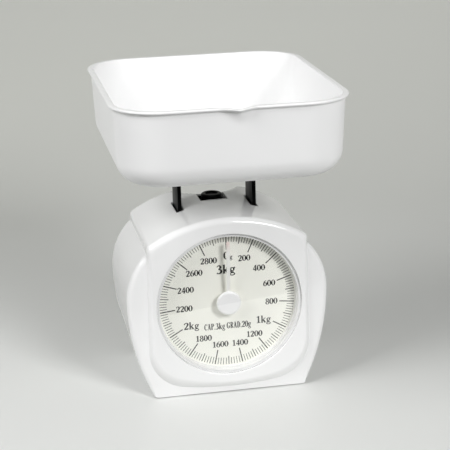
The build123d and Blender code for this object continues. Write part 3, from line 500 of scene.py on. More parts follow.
def case_shell():
    """The case as one closed shell. Its columns are rays from the middle of the dial, each row is a distance
    from the dial's axis and a depth, and the rows run out of the window, over the raised panel and its edges,
    back along the case, round the rear rim and forward inside."""
    arch_line = np.arange(0, core_half_width, arch_spacing)
    arch_x = with_edges(arch_line, [(slot_low_x, slot_high_x), (-opening_half_width, opening_half_width)])
    half = case_outline(0, arch_x[arch_x >= 0])
    right = np.unique(np.round(np.arctan2(half[:, 0], half[:, 1] - dial_z), 9))
    turn = np.concatenate([right, -right[(right > near) & (right < math.pi - near)][::-1]])
    sine, cosine = np.sin(turn), np.cos(turn)

    dense_x = np.linspace(0, core_half_width, 200)
    outer = ray_length(case_outline(0, dense_x), turn)
    inner = ray_length(case_outline(wall, dense_x), turn)
    panel = np.minimum(ray_length(panel_outline(0, 0, 0, panel_bow, panel_corner_radius), turn), outer)
    bevels = (panel_side_bevel, panel_bottom_bevel, panel_top_bevel)
    face = ray_length(panel_outline(*bevels, panel_face_bow, panel_face_corner_radius), turn)
    arched = 1 - smoothstep(np.abs(turn), *arch_fade)
    based = smoothstep(np.abs(turn), *base_fade)
    face = arched * (panel - panel_top_radius) + (1 - arched) * face

    rows = []

    def add_row(radius, y):
        rows.append(np.broadcast_arrays(radius, y, turn)[:2])

    for radius, y in (
        (window_radius, card_y),
        (window_radius, groove_back_y),
        (groove_radius, groove_back_y),
        (groove_radius, groove_front_y),
        (window_radius, groove_front_y),
        (window_radius, lens_high.y),
        (pocket_radius, lens_high.y),
        (pocket_radius, (lens_high.y + front_y) / 2),
    ):
        add_row(radius, y)
    for radius, y in arc((0, 0), 1.0, 0, quarter_turn, 6):
        add_row(pocket_radius + window_edge_radius * (1 - radius), front_y + window_edge_radius * (1 - y))
    edge = pocket_radius + window_edge_radius
    for share in (0.25, 0.5, 0.75, 0.92, 1.0):
        add_row(edge + (face - edge) * share, front_y)
    # Panel edge: a bevel that steepens outwards at the sides and foot, a quarter round along the arch
    for share in np.linspace(0, 1, 13)[1:]:
        bevel_y = panel_step * share**bevel_power
        swing = share * quarter_turn
        round_radius = panel - panel_top_radius * (1 - math.sin(swing))
        round_y = panel_top_radius * (1 - math.cos(swing))
        radius = arched * round_radius + (1 - arched) * (face + (panel - face) * share)
        add_row(radius, front_y + arched * round_y + (1 - arched) * bevel_y)
    # Wing face and its rounded outer edge, which is straight along the arch
    room = edge_share * np.maximum(outer - panel, 0)
    edge_size = np.minimum(room, based * base_edge_radius + (1 - based) * wing_edge_radius)
    run_start = wing_face_y + wing_edge_radius
    ledge = outer - edge_size
    arch_run = run_start - front_y - panel_top_radius
    for share in (0.25, 0.5, 0.75, 1.0):
        y = front_y + panel_top_radius + arch_run * share / 3
        add_row(panel + (ledge - panel) * share, arched * y + (1 - arched) * wing_face_y)
    for angle in np.linspace(0, quarter_turn, 9)[1:]:
        share = angle / math.pi * 2
        y = wing_face_y + edge_size * (1 - math.cos(angle)) + (wing_edge_radius - edge_size) * share
        arch_y = front_y + panel_top_radius + arch_run * (1 + 2 * share) / 3
        add_row(ledge + edge_size * math.sin(angle), arched * arch_y + (1 - arched) * y)
    first_outer = len(rows) - 1
    run_end = back_y - back_edge_radius
    line = np.concatenate([np.arange(run_start, run_end, run_spacing), [run_end]])
    run_y = with_edges(line, [slot_y, opening_y])
    run_y[np.argmin(np.abs(run_y - run_start))] = run_start
    for y in run_y[1:]:
        add_row(outer, y)
    outer_row_of = {round(float(y), 7): first_outer + number for number, y in enumerate(run_y)}
    for angle in np.linspace(0, quarter_turn, 6)[1:]:
        radius = outer - back_edge_radius * (1 - math.cos(angle))
        add_row(radius, run_end + back_edge_radius * math.sin(angle))
    last_outer = len(rows) - 1
    add_row(inner, back_y)
    first_inner = len(rows) - 1
    inner_row_of = {round(float(y), 7): len(rows) + number for number, y in enumerate(run_y[::-1])}
    inner_front = wing_face_y + wall
    for y in (*run_y[::-1], inner_front):
        add_row(inner, y)
    last_inner = len(rows) - 1
    panel_inner = np.clip(face - wall / 2, collar_radius + collar_gap, inner - skin_gap)
    add_row(panel_inner, inner_front)
    add_row(panel_inner, front_y + wall)
    add_row(collar_radius, front_y + wall)
    add_row(collar_radius, card_y)

    radius, y = (np.array(part) for part in zip(*rows))
    x, z = radius * sine, dial_z + radius * cosine
    column_x = outer * sine
    outside = slice(first_outer, last_outer + 1)
    inside = slice(first_inner, last_inner + 1)
    # The scoop lowers the outside, and the inside keeps a wall's thickness under it
    upper = smoothstep(cosine, *scoop_fade)
    lowered = lower_of(z, scoop_height(x, y))
    z[outside] = np.where(cosine > 0, z + (lowered - z) * upper, z)[outside]
    roof = arch_middle_z + np.sqrt(np.maximum(arch_radius**2 - column_x**2, 0))
    roof = lower_of(roof[None, :] + 0 * y, scoop_height(column_x, y)) - roof_wall
    under = lower_of(z, scoop_height(x, y) - sloped_wall)
    plumb = np.where(cosine > 0, 1 - smoothstep(np.abs(column_x), *plumb_fade), 0)
    z[inside] = np.where(cosine > 0, under * (1 - plumb) + roof * plumb, z)[inside]
    x[inside] = (x * (1 - plumb) + column_x * plumb)[inside]
    # Each opening's edge is rounded over: drop = r - sqrt(r^2 - (r - d)^2) at distance d from it
    for low_x, high_x, low_y, high_y in openings:
        off_x = np.maximum(np.maximum(low_x - x, x - high_x), 0)
        off_y = np.maximum(np.maximum(low_y - y, y - high_y), 0)
        gap = opening_edge_radius - np.minimum(np.hypot(off_x, off_y), opening_edge_radius)
        drop = opening_edge_radius - np.sqrt(opening_edge_radius**2 - gap**2)
        above = (cosine > roof_cosine) & (z > dial_z)
        z[outside] -= np.where(above, drop, 0)[outside]

    # The openings' quads are left out, and walls join the edges above and below
    count = len(turn)
    faces = grid_faces(len(rows), count, wrap_rows=True, wrap_columns=True)
    middle_x, middle_y, middle_z = (part.ravel()[faces].mean(axis=1) for part in (x, y, z))
    row_number = faces[:, 0] // count
    in_skin = ((row_number >= first_outer) & (row_number < last_outer)) | (
        (row_number >= first_inner) & (row_number < last_inner)
    )
    in_skin &= middle_z > arch_middle_z + roof_share * arch_radius
    gone = np.zeros(len(faces), bool)
    bridges = []
    for low_x, high_x, low_y, high_y in openings:
        within = (middle_x > low_x) & (middle_x < high_x) & (middle_y > low_y) & (middle_y < high_y)
        gone |= in_skin & within
        spanned = (cosine > roof_cosine) & (column_x > low_x - near) & (column_x < high_x + near)
        across = [int(column) for column in np.argsort(column_x) if spanned[column]]
        along = [depth for depth in sorted(outer_row_of) if low_y - near < depth < high_y + near]
        loop = [(along[0], column) for column in across] + [(depth, across[-1]) for depth in along[1:]]
        loop += [(along[-1], column) for column in across[-2::-1]]
        loop += [(depth, across[0]) for depth in along[-2:0:-1]]
        top = [outer_row_of[depth] * count + column for depth, column in loop]
        bottom = [inner_row_of[depth] * count + column for depth, column in loop]
        bridges.append(points_of(top, np.roll(top, -1), np.roll(bottom, -1), bottom))
    return points_of(x, y, z), np.concatenate([faces[~gone], *bridges])


mesh_piece("case_shell", *case_shell(), glossy_abs, "root", "case_white", ["body_shell"], sharp=32)


# Bowl

rim_width = 2.3 * mm
rim_height = 2.3 * mm
rim_lip = 0.7 * mm
rim_bead = 1.0 * mm
# Below the bead the rim slopes back to the wall: heights over its lowest line, and insets, in millimetres
rim_slope = ((0.9, -2.3), (0.65, -2.15), (0.4, -1.75), (0.0, -0.9), (-0.3, -0.4), (-0.7, -0.1), (-1.3, 0.0))
spout_reach = 4.6 * mm
spout_droop = 1.1 * mm
spout_half_width = 14.0 * mm
spout_foot = 3 * mm
spout_depth = 11.0 * mm
spout_softness = 0.02
# How full the lip is away from its middle, and the powers by which its reach grows with height and its droop
# with the swell
spout_fullness, reach_power, droop_power = 0.25, 1.3, 1.5
bowl_half_width = bowl_high.x - rim_width
bowl_half_length = 97.0 * mm
bowl_middle_y = bowl_high.y - rim_width - bowl_half_length
bowl_corner = 33.0 * mm
bowl_least_corner = 2 * mm
bowl_draft = math.radians(2.2)
bowl_wall = 2.0 * mm
bowl_round = 15.5 * mm
# The rib under the floor locates the bowl round its support plate
rib_middle_y = (support_low.y + support_high.y) / 2
rib_clearance = 0.6 * mm
rib_corner = 8.6 * mm
support_half_length = (support_high.y - support_low.y) / 2
rib_inner = (support_high.x + rib_clearance, support_half_length + rib_clearance, rib_corner)
rib_thickness = 1.6 * mm
rib_edge = 0.3 * mm
side_steps, corner_steps = 44, 22


def rectangle_ring(half_x, half_y, corner):
    """Points (x, y) of a rounded rectangle round the bowl's middle: four times a straight side and a corner
    arc, turned on by a quarter turn, with the same number of points on every side and corner whatever its
    size."""
    share = np.linspace(-1, 1, side_steps, endpoint=False)
    swing = np.linspace(0, quarter_turn, corner_steps, endpoint=False)
    flat_x, flat_y = half_x - corner, half_y - corner
    sides = []
    for quarter, (run, offset) in enumerate(((flat_x, half_y), (flat_y, half_x)) * 2):
        turn = quarter * quarter_turn
        cos, sin = round(math.cos(turn)), round(math.sin(turn))
        bend = np.array([run, -(offset - corner)]) + corner * points_of(np.sin(swing), -np.cos(swing))
        x, y = np.concatenate([points_of(share * run, -offset), bend]).T
        sides.append(points_of(x * cos - y * sin, x * sin + y * cos))
    return np.concatenate(sides)


def bowl_ring(z, inset):
    """One ring of the bowl's wall: the rim outline drawn in by the draft below the rim and by inset, with the
    pouring lip swelling from the front wall near the rim."""
    taper = (bowl_top_z - z) * math.tan(bowl_draft) + inset
    corner = max(bowl_corner - inset, bowl_least_corner)
    ring = rectangle_ring(bowl_half_width - taper, bowl_half_length - taper, corner)
    height = 1 - (bowl_top_z - z) / spout_depth
    droop = np.zeros(len(ring))
    if height > 0:
        half_width = spout_foot + (spout_half_width - spout_foot) * height
        reach = spout_reach * height**reach_power
        swell = np.where(ring[:, 1] < 0, np.clip(1 - np.abs(ring[:, 0]) / half_width, 0, 1), 0)
        blunt = math.sqrt(spout_softness)
        swell = (np.sqrt(swell**2 + spout_softness) - blunt) / (math.sqrt(1 + spout_softness) - blunt)
        ring[:, 1] -= reach * swell * (1 + spout_fullness - spout_fullness * swell)
        droop = spout_droop * swell**droop_power * height**2
    ring[:, 1] += bowl_middle_y
    return np.column_stack([ring, z - droop])


def rounded_rings(z, inset, radius, swings):
    """Rings along a quarter round, at height z + radius * (1 - sin) and inset + radius * (1 - cos)."""
    rings = []
    for swing in swings:
        rings.append(bowl_ring(z + radius * (1 - math.sin(swing)), inset + radius * (1 - math.cos(swing))))
    return rings


def rib_ring(sizes, grow, z):
    """One ring of the rib: half sizes and corner radius, each grown, at a height."""
    ring = rectangle_ring(*(size + grow for size in sizes)) + (0, rib_middle_y)
    return np.column_stack([ring, np.full(len(ring), z)])


def bowl_surface():
    """Rounded-rectangle rings from the middle of the floor inside, up the wall, over the rim bead, down the
    outside and round the rib to the middle of the underside, each with as many points, closed by a pole
    inside and one underneath."""
    inside_floor = bowl_floor_z + bowl_wall
    inside_round = bowl_round - bowl_wall
    floor_edge = bowl_ring(inside_floor, bowl_round)
    middle = np.array([0, bowl_middle_y, inside_floor])
    floor_shares = (0.02, 0.15, 0.3, 0.45, 0.6, 0.72, 0.82, 0.9, 0.96, 1.0)
    rings = [middle + (floor_edge - middle) * share for share in floor_shares]
    rings += rounded_rings(inside_floor, bowl_wall, inside_round, np.linspace(quarter_turn, 0, 12)[1:])
    inside_heights = np.linspace(inside_floor + inside_round, bowl_top_z - rim_lip, 15)[1:]
    rings += [bowl_ring(z, bowl_wall) for z in inside_heights]
    rings += rounded_rings(bowl_top_z, bowl_wall, -rim_lip, np.linspace(0, quarter_turn, 6)[1:])
    for share in (0.35, 0.7):
        inset = (bowl_wall - rim_lip) * (1 - share) + (rim_bead - rim_width) * share
        rings.append(bowl_ring(bowl_top_z, inset))
    for swing in np.linspace(0, quarter_turn, 7):
        inset = rim_bead * (1 - math.sin(swing)) - rim_width
        rings.append(bowl_ring(bowl_top_z - rim_bead * (1 - math.cos(swing)), inset))
    under = bowl_top_z - rim_height
    rings += [bowl_ring(under + rise * mm, inset * mm) for rise, inset in rim_slope]
    outside_heights = np.linspace(under + rim_slope[-1][0] * mm, bowl_floor_z + bowl_round, 16)[1:]
    rings += [bowl_ring(z, 0) for z in outside_heights]
    rings += rounded_rings(bowl_floor_z, 0, bowl_round, np.linspace(0, quarter_turn, 14)[1:])
    rib_outer = tuple(size + rib_thickness for size in rib_inner)
    for grow, z in ((0.0, bowl_floor_z), (0.0, bowl_low.z + rib_edge), (-rib_edge, bowl_low.z)):
        rings.append(rib_ring(rib_outer, grow, z))
    for grow, z in ((rib_edge, bowl_low.z), (0.0, bowl_low.z + rib_edge), (0.0, bowl_floor_z)):
        rings.append(rib_ring(rib_inner, grow, z))
    bottom = np.array([0, rib_middle_y, bowl_floor_z])
    last = rings[-1]
    rings += [bottom + (last - bottom) * share for share in (0.6, 0.25, 0.02)]
    count = len(last)
    end = len(rings) * count
    first_number = np.arange(count)
    first_next = np.roll(first_number, -1)
    last_number, last_next = end - count + first_number, end - count + first_next
    pole_faces = [points_of(end, first_next, first_number), points_of(end + 1, last_number, last_next)]
    faces = grid_faces(len(rings), count, wrap_columns=True).tolist()
    faces += np.stack(pole_faces, axis=1).reshape(-1, 3).tolist()
    return np.concatenate(rings + [middle[None, :], bottom[None, :]]), faces


mesh_piece("weighing_bowl", *bowl_surface(), satin_polypropylene, "bowl", "bowl_white", ["bowl"], sharp=60)


# Uprights, knob, hub, needle and lens


def soft_block(low, high, radius, steps=4):
    """A box with rounded edges: |x|, |y| and |z| of a cube-like grid are each carried out by a quarter
    circle, point = core corner + radius * direction, on the eight rounded corners and the faces between."""
    low, high = np.asarray(low, float), np.asarray(high, float)
    swing = np.linspace(0, quarter_turn, steps)
    turns = np.concatenate([swing + quarter * quarter_turn for quarter in range(4)])
    signs = np.repeat([(1, 1), (-1, 1), (-1, -1), (1, -1)], steps, axis=0)
    tilts = np.concatenate([swing - quarter_turn, swing])[:, None]
    ends = np.repeat([-1, 1], steps)[:, None]
    middle, half = (low + high) / 2, (high - low) / 2 - radius
    x = half[0] * signs[:, 0] + radius * np.cos(turns) * np.cos(tilts)
    y = half[1] * signs[:, 1] + radius * np.sin(turns) * np.cos(tilts)
    points = points_of(x, y, half[2] * ends + radius * np.sin(tilts)) + middle
    return points.reshape(-1, 3), capped_faces(len(tilts), len(turns))


upright_edge = 0.35 * mm
for hand in ("left", "right"):
    low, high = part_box(f"{hand}_upright")
    blade = soft_block(low, high, upright_edge)
    mesh_piece(f"{hand}_upright_blade", *blade, black_abs, "carriage", "upright_black", [f"{hand}_upright"])

knob_radius = (knob_high.x - knob_low.x) / 2
knob_round = 1.7 * mm
knob_chamfer = 0.6 * mm
dish_radius = 4.6 * mm
dish_round = 0.9 * mm
dish_end = 0.86 * math.pi
dish_z = knob_high.z - 1.3 * mm
# How the dish's side runs out into its floor: insets and heights over the floor, in millimetres
dish_foot = ((0.25, 0.12), (0.8, 0.0))
knob_profile = np.concatenate(
    [
        [(0, knob_low.z), (knob_radius - knob_chamfer, knob_low.z), (knob_radius, knob_low.z + knob_chamfer)],
        arc((knob_radius - knob_round, knob_high.z - knob_round), knob_round, 0, quarter_turn, 9),
        arc((dish_radius + dish_round, knob_high.z - dish_round), dish_round, quarter_turn, dish_end, 6),
        [(dish_radius - inset * mm, dish_z + rise * mm) for inset, rise in dish_foot],
        [(0, dish_z)],
    ]
)
knob_cap = revolved(knob_profile, (0, knob_y, 0), "Z")
mesh_piece("zero_knob_cap", *knob_cap, pebbled_black_abs, "zero_knob", "knob_black", ["zero_knob"])

hub_radius = (hub_high.x - hub_low.x) / 2
hub_back_y = needle_low.y
hub_round = 1.65 * mm
hub_flat_share = 0.55
hub_draft = 0.2 * mm
stem_radius = 2.5 * mm
hub_profile = np.concatenate(
    [
        [(0, hub_low.y), (hub_flat_share * hub_radius, hub_low.y)],
        arc((hub_radius - hub_round, hub_low.y + hub_round), hub_round, -quarter_turn, 0, 9),
        [(hub_radius - hub_draft, hub_back_y), (stem_radius, hub_back_y)],
        [(stem_radius, hub_high.y), (0, hub_high.y)],
    ]
)
hub_cap = revolved(hub_profile, (0, 0, dial_z), "Y")
mesh_piece("pointer_hub_cap", *hub_cap, satin_polypropylene, "pointer", "pointer_white", ["pointer_hub"])

eye_radius = 4.5 * mm
eye_chamfer = 0.2 * mm
blade_root_half, blade_tip_half = 1.4 * mm, 1.2 * mm
blade_chamfer = 0.18 * mm
# In the photograph the needle is longer than its solid by this
blade_extra = 2.0 * mm
blade_reach = needle_high.z - dial_z + blade_extra
blade_least_half = 0.05 * mm
# The blade's flat top takes this share of its width
crown_share = 0.6
blade_bend = 2.1 * mm
blade_bend_span = (9 * mm, 32 * mm)


def needle_blade():
    """The pointer's blade: a round eye behind the hub that runs into a tapered strip with a slight crown, its
    half width falling from root to tip. Clear of the hub it is bent forward, by a smooth step."""
    low_y, high_y = needle_low.y, needle_high.y
    taper = blade_reach - blade_tip_half
    tip = taper + blade_tip_half * np.sin(np.linspace(0, quarter_turn, 7)[1:])
    up = np.concatenate([np.linspace(0, taper, 24), tip])
    straight = blade_root_half + (blade_tip_half - blade_root_half) * np.minimum(up / taper, 1)
    round_end = np.sqrt(np.maximum(blade_tip_half**2 - np.maximum(up - taper, 0) ** 2, 0))
    half = np.maximum(np.where(up > taper, round_end, straight), blade_least_half)
    bent = blade_bend * smoothstep(up, *blade_bend_span)
    across = np.array([-1, -1, -crown_share, crown_share, 1, 1])
    depth = np.array([high_y, low_y + blade_chamfer, low_y, low_y, low_y + blade_chamfer, high_y])
    points = points_of(across * half[:, None], depth - bent[:, None], dial_z + up[:, None]).reshape(-1, 3)
    edge = eye_radius - eye_chamfer
    eye = [(0, low_y), (edge, low_y), (eye_radius, low_y + eye_chamfer), (eye_radius, high_y), (0, high_y)]
    return joined([(points, capped_faces(len(up), len(across))), revolved(eye, (0, 0, dial_z), "Y", 48)])


mesh_piece("pointer_blade", *needle_blade(), painted_blade, "pointer", "needle_white", ["pointer_needle"])

lens_radius = (lens_high.x - lens_low.x) / 2
lens_edge = 0.25 * mm
lens_profile = [
    (0, lens_low.y),
    (lens_radius - lens_edge, lens_low.y),
    (lens_radius, lens_low.y + lens_edge),
    (lens_radius, lens_high.y - lens_edge),
    (lens_radius - lens_edge, lens_high.y),
    (0, lens_high.y),
]
lens = revolved(lens_profile, (0, 0, dial_z), "Y", 180)
mesh_piece("dial_window", *lens, clear_lens, "root", "lens_clear", ["dial_lens"])


# Dial print: graduations and numbers, each a thin closed slab of ink on the card

ink_sunk = 0.02 * mm
ink_proud = 0.05 * mm
graduation_outer = 49.8 * mm
capacity_g = 3000
division_g = 20
# Each kind of tick: the mass that it marks in multiples, its inner radius and its half width in millimetres
tick_kinds = ((200, 38.75, 0.38), (100, 43.4, 0.28), (division_g, 44.6, 0.20))


def ink_slab(centre_line, half_width, closed):
    """A stroke: the line is offset by half_width to both sides, along its own normal, and given the ink's
    thickness. centre_line holds (across, up) from the dial's middle."""
    if closed:
        run = np.roll(centre_line, -1, axis=0) - np.roll(centre_line, 1, axis=0)
    else:
        run = np.gradient(centre_line, axis=0)
    run /= np.maximum(np.linalg.norm(run, axis=1, keepdims=True), 1e-9)
    side = points_of(-run[:, 1], run[:, 0]) * half_width[:, None]
    proud_y, sunk_y = card_y - ink_proud, card_y + ink_sunk
    corners = []
    for offset, y in ((side, proud_y), (-side, proud_y), (-side, sunk_y), (side, sunk_y)):
        flat = centre_line + offset
        corners.append(points_of(flat[:, 0], y, dial_z + flat[:, 1]))
    faces = grid_faces(len(centre_line), 4, wrap_rows=closed, wrap_columns=True).tolist()
    if not closed:
        last = 4 * (len(centre_line) - 1)
        faces += [(0, 1, 2, 3), (last + 3, last + 2, last + 1, last)]
    return np.stack(corners, axis=1).reshape(-1, 3), faces


def graduation(mass):
    """One tick of the scale, from its own inner radius out to the ring's edge."""
    turn = mass / capacity_g * 2 * math.pi
    inner, half = next((inner, half) for step, inner, half in tick_kinds if mass % step == 0)
    reach = np.array([inner * mm, graduation_outer])
    return ink_slab(points_of(reach * math.sin(turn), reach * math.cos(turn)), np.full(2, half * mm), False)


def curved(controls, closed, steps=5):
    """Catmull-Rom curve through (across, up, width) controls: each span blends its two ends and the slopes
    that their neighbours give."""
    if closed:
        before, after, beyond = (np.roll(controls, shift, axis=0) for shift in (1, -1, -2))
        start = controls
    else:
        padded = np.concatenate([controls[:1], controls, controls[-1:]])
        before, start, after, beyond = padded[:-3], padded[1:-2], padded[2:-1], padded[3:]
    share = np.linspace(0, 1, steps, endpoint=False)[:, None, None]
    curve = 0.5 * (
        2 * start
        + (after - before) * share
        + (2 * before - 5 * start + 4 * after - beyond) * share**2
        + (3 * start - before - 3 * after + beyond) * share**3
    )
    curve = curve.transpose(1, 0, 2).reshape(-1, 3)
    return curve if closed else np.concatenate([curve, controls[-1:]])


# Bold serif figures and letters drawn for this dial, in hundredths of their height. A stroke is (controls,
# closed, curved), with controls of (across, up, stroke width).


def oval(*sizes, count=10):
    """A closed oval stroke: its middle (across, up), its half width and half height, and its thickness at the
    sides and at the top and bottom."""
    across, up, half_width, half_height, thick, thin = np.array(sizes) / 100
    turn = np.arange(count) * full_turn / count
    width = thin + (thick - thin) * np.cos(turn) ** 2
    return points_of(across + half_width * np.cos(turn), up + half_height * np.sin(turn), width), True, True


def bend(*controls):
    """A stroke that curves smoothly through its controls."""
    return np.array(controls) / 100, False, True


def straight(*controls):
    """A stroke in straight lines from control to control."""
    return np.array(controls) / 100, False, False


def bar(across, up, across_end, up_end, width):
    """A straight stroke of one width."""
    return straight((across, up, width), (across_end, up_end, width))


def serif(left, right, up=3, width=5):
    """A level stroke of one width."""
    return bar(left, up, right, up, width)


stem = bar(18, 100, 18, 0, 16)
foot = serif(4, 34)
barb = bar(56, 100, 56, 70, 6)
bow = bend((6, 97, 5), (40, 93, 8), (51, 74, 15), (40, 54, 8), (20, 50, 5))
round_back = bend((56, 76, 6), (34, 97, 7), (16, 80, 13), (11, 50, 17), (16, 20, 13), (35, 3, 7), (56, 18, 6))
glyphs = {
    "0": [oval(31, 50, 22, 46, 19, 7)],
    "1": [bar(32, 100, 32, 0, 17), straight((10, 85, 5), (32, 95, 12)), serif(10, 54, width=6)],
    "2": [
        bend((9, 72, 13), (15, 89, 10), (31, 96, 8), (48, 84, 17), (47, 63, 17), (31, 36, 12), (9, 9, 7)),
        straight((6, 8, 15), (50, 8, 15), (57, 22, 4)),
    ],
    "3": [
        bend((9, 82, 7), (20, 95, 7), (37, 93, 12), (44, 76, 17), (34, 58, 10), (22, 54, 6)),
        bend((22, 54, 6), (41, 48, 10), (51, 28, 18), (41, 8, 12), (23, 2, 7), (9, 10, 13)),
    ],
    "4": [bar(42, 100, 42, 0, 16), bar(40, 97, 6, 30, 7), serif(3, 60, 28, 12), serif(26, 56, 2)],
    "6": [oval(32, 31, 21, 29, 17, 7), bend((12, 34, 16), (17, 62, 15), (31, 85, 9), (52, 98, 5))],
    "8": [oval(31, 25, 21, 24, 16, 7), oval(31, 75, 17, 22, 15, 6)],
    "k": [
        bar(15, 104, 15, 0, 15), serif(2, 16, 101), serif(3, 29), bar(20, 32, 47, 64, 7),
        serif(36, 60, 65), bar(29, 43, 53, 4, 16), serif(38, 65),
    ],
    "g": [
        oval(26, 44, 15, 19, 13, 6), bend((14, 27, 6), (10, 16, 10), (24, 9, 12), (40, 5, 12)),
        oval(27, -13, 22, 14, 9, 7), straight((38, 57, 6), (54, 63, 11)),
    ],
    "A": [bar(31, 99, 9, 0, 6), bar(29, 99, 52, 0, 16), serif(14, 44, 33, 6), serif(0, 20), serif(40, 64)],
    "C": [round_back, barb],
    "D": [
        stem, serif(4, 24, 97), serif(4, 24),
        bend((18, 97, 5), (42, 91, 9), (55, 50, 17), (42, 9, 9), (18, 3, 5)),
    ],
    "G": [round_back, barb, bar(52, 42, 52, 5, 14), serif(37, 64, 42)],
    "P": [stem, foot, bow],
    "R": [stem, foot, bow, straight((32, 48, 12), (56, 3, 15))],
    ".": [serif(6, 20, 8, 14)],
    " ": [],
}
plain_advance = 63
advance = {"1": 60, "k": 68, "g": 60, " ": 28, ".": 28, "A": 67, "C": 66, "G": 70, "R": 68, "D": 68}


def lettering(text, middle, height, widen=1.08, weight=1.3):
    """A line of text centred at middle, (across, up) from the dial's middle, with figures of the given
    height. Both are in millimetres. Weight thickens the strokes, and widen stretches the line."""
    middle, height = np.asarray(middle) * mm, height * mm
    widths = [advance.get(letter, plain_advance) / 100 for letter in text]
    pen = -sum(widths) / 2
    slabs = []
    for letter, width in zip(text, widths):
        for controls, closed, bent in glyphs[letter]:
            line = curved(controls, closed) if bent else controls
            place = (line[:, :2] + (pen, -0.5)) * (height * widen, height) + middle
            slabs.append(ink_slab(place, line[:, 2] * weight * height / 2, closed))
        pen += width
    return slabs


ticks = [graduation(mass) for mass in range(0, capacity_g, division_g)]
mesh_piece("dial_graduations", *joined(ticks), printing_ink, "root", "dial_cream")

# The numbers stand on an oval of these half sizes, a little off their own rays, where this dial's printer set
# them. Millimetres.
number_half_width, number_half_height = 32.0, 34.3
number_shift = {600: 0.7, 800: 0.8, 1000: -1.2, 1200: 0.7, 1400: 2.0, 1600: 0.6, 1800: 0.6, 2000: 0.8}
figures = []
for mass in range(200, capacity_g, 200):
    turn = mass / capacity_g * 2 * math.pi
    across = number_half_width * math.sin(turn) + number_shift.get(mass, 0.0)
    middle = (across, number_half_height * math.cos(turn))
    if mass % 1000 == 0:
        figures += lettering(f"{mass // 1000}kg", middle, 5.3, 1.14)
    else:
        figures += lettering(str(mass), middle, 4.45)
figures += lettering("0", (-0.1, 34.3), 5.8)
figures += lettering("g", (3.5, 33.2), 3.4)
figures += lettering("3kg", (-0.6, 24.0), 6.4, 1.18, 1.5)
figures += lettering("CAP.3kg GRAD.20g", (-0.2, -19.4), 4.8, 0.78, 1.05)
mesh_piece("dial_figures", *joined(figures), printing_ink, "root", "dial_cream")


# Springs: a close coil of wire with a round loop at each end, between the hanger and the carriage

wire_radius = 0.65 * mm
coil_radius = 5.1 * mm
coil_turns, coil_steps = 24, 20
# The coil's ends are drawn in to this share of its radius, to meet the loops
coil_neck = 0.45
loop_radius = 4.0 * mm
# Each loop runs between these angles, which are measured from the side towards the dial
loop_swing = (-0.5 * math.pi, 1.25 * math.pi)
wire_sides = 10
# A direction in which no part of the wire runs
askew = (0.31, 0.17, 0.93)


def spring_paths(x, low, high):
    """Middle of a spring's wire in two runs: the lower loop in the plane across the case with a helix up the
    middle, and the upper loop, which begins where the helix ends. The upper loop hangs on the hanger and is a
    piece of its own."""
    coil_low, coil_high = low + 2 * loop_radius + wire_radius, high - 2 * loop_radius - wire_radius
    swing = np.linspace(*loop_swing, 26)
    across = knob_y - loop_radius * np.cos(swing)
    lower = points_of(x, across, low + loop_radius + loop_radius * np.sin(swing))
    whole = full_turn * coil_turns
    turn = np.linspace(0, whole, coil_turns * coil_steps)
    lead = smoothstep(turn, 0, math.pi) * smoothstep(-turn, -whole, math.pi - whole)
    size = coil_radius * (coil_neck + (1 - coil_neck) * lead)
    rise = coil_low + (coil_high - coil_low) * turn / whole
    helix = points_of(x + size * np.sin(turn), knob_y + size * np.cos(turn), rise)
    upper = lower[::-1] * (1, 1, -1) + (0, 0, low + high)
    return np.concatenate([lower, helix]), np.concatenate([helix[-1:], upper])


def wire_tube(path):
    """A round wire along a path: circles square to the path, turned with it so that they never twist."""
    run = np.gradient(path, axis=0)
    run /= np.linalg.norm(run, axis=1, keepdims=True)
    first = np.cross(run, np.broadcast_to(askew, run.shape))
    first /= np.linalg.norm(first, axis=1, keepdims=True)
    second = np.cross(run, first)
    turn = np.arange(wire_sides) * full_turn / wire_sides
    ring = first[:, None, :] * np.cos(turn)[:, None] + second[:, None, :] * np.sin(turn)[:, None]
    points = (path[:, None, :] + wire_radius * ring).reshape(-1, 3)
    return points, capped_faces(len(path), wire_sides)


for hand in ("left", "right"):
    low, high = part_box(f"{hand}_spring")
    middle_x = (low.x + high.x) / 2
    paths = spring_paths(middle_x, low.z + wire_radius, high.z - wire_radius)
    names = (f"{hand}_spring_coil", f"{hand}_spring_hook")
    coil, hook = (
        mesh_piece(name, *wire_tube(path), spring_wire, None, "spring_steel", [f"{hand}_spring"])
        for name, path in zip(names, paths)
    )
    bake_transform(coil)
    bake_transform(hook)


# CAD nodes that keep their shape and get their finish

finishes = {
    glossy_abs: ["rear_cover"],
    satin_polypropylene: ["bowl_support"],
    pebbled_black_abs: ["knob_seat"],
    printing_card: ["dial_card"],
    natural_polypropylene: ["dial_plate", "carriage_frame", "upper_link", "lower_link"],
    zinc_steel: ["chassis_plate", "spring_hanger"],
    nickel_steel: ["cover_screws", "chassis_screws", "upright_screws", "rack_screw", "link_pins"]
    + ["upper_link_shaft", "lower_link_shaft", "pointer_shaft", "zero_screw"],
    turned_brass: ["front_bush", "rear_bush", "pinion"],
    natural_acetal: ["rack"],
    nitrile_rubber: ["foot_front_left", "foot_front_right", "foot_rear_left", "foot_rear_right"],
}
for finish, names in finishes.items():
    for name in names:
        for slot in nodes[name].material_slots:
            slot.material = finish


# Studio: a pale floor that sweeps up into a grey backdrop, soft lamps and the camera

paper_turn = math.radians(-14)
paper_front_y, paper_bend_y, paper_bend_radius, paper_top_z = -0.215, 0.45, 0.75, 3.0
paper_half_width = 2.4
# Between these depths the paper's colour runs from its tone at the scale to a paler tone behind it: painted
# light, standing in for light that the lamps don't bring to the backdrop
painted_light_start_y, painted_light_end_y = 0.1, 0.8
table_half = 3.0
table_z = -1.5 * mm


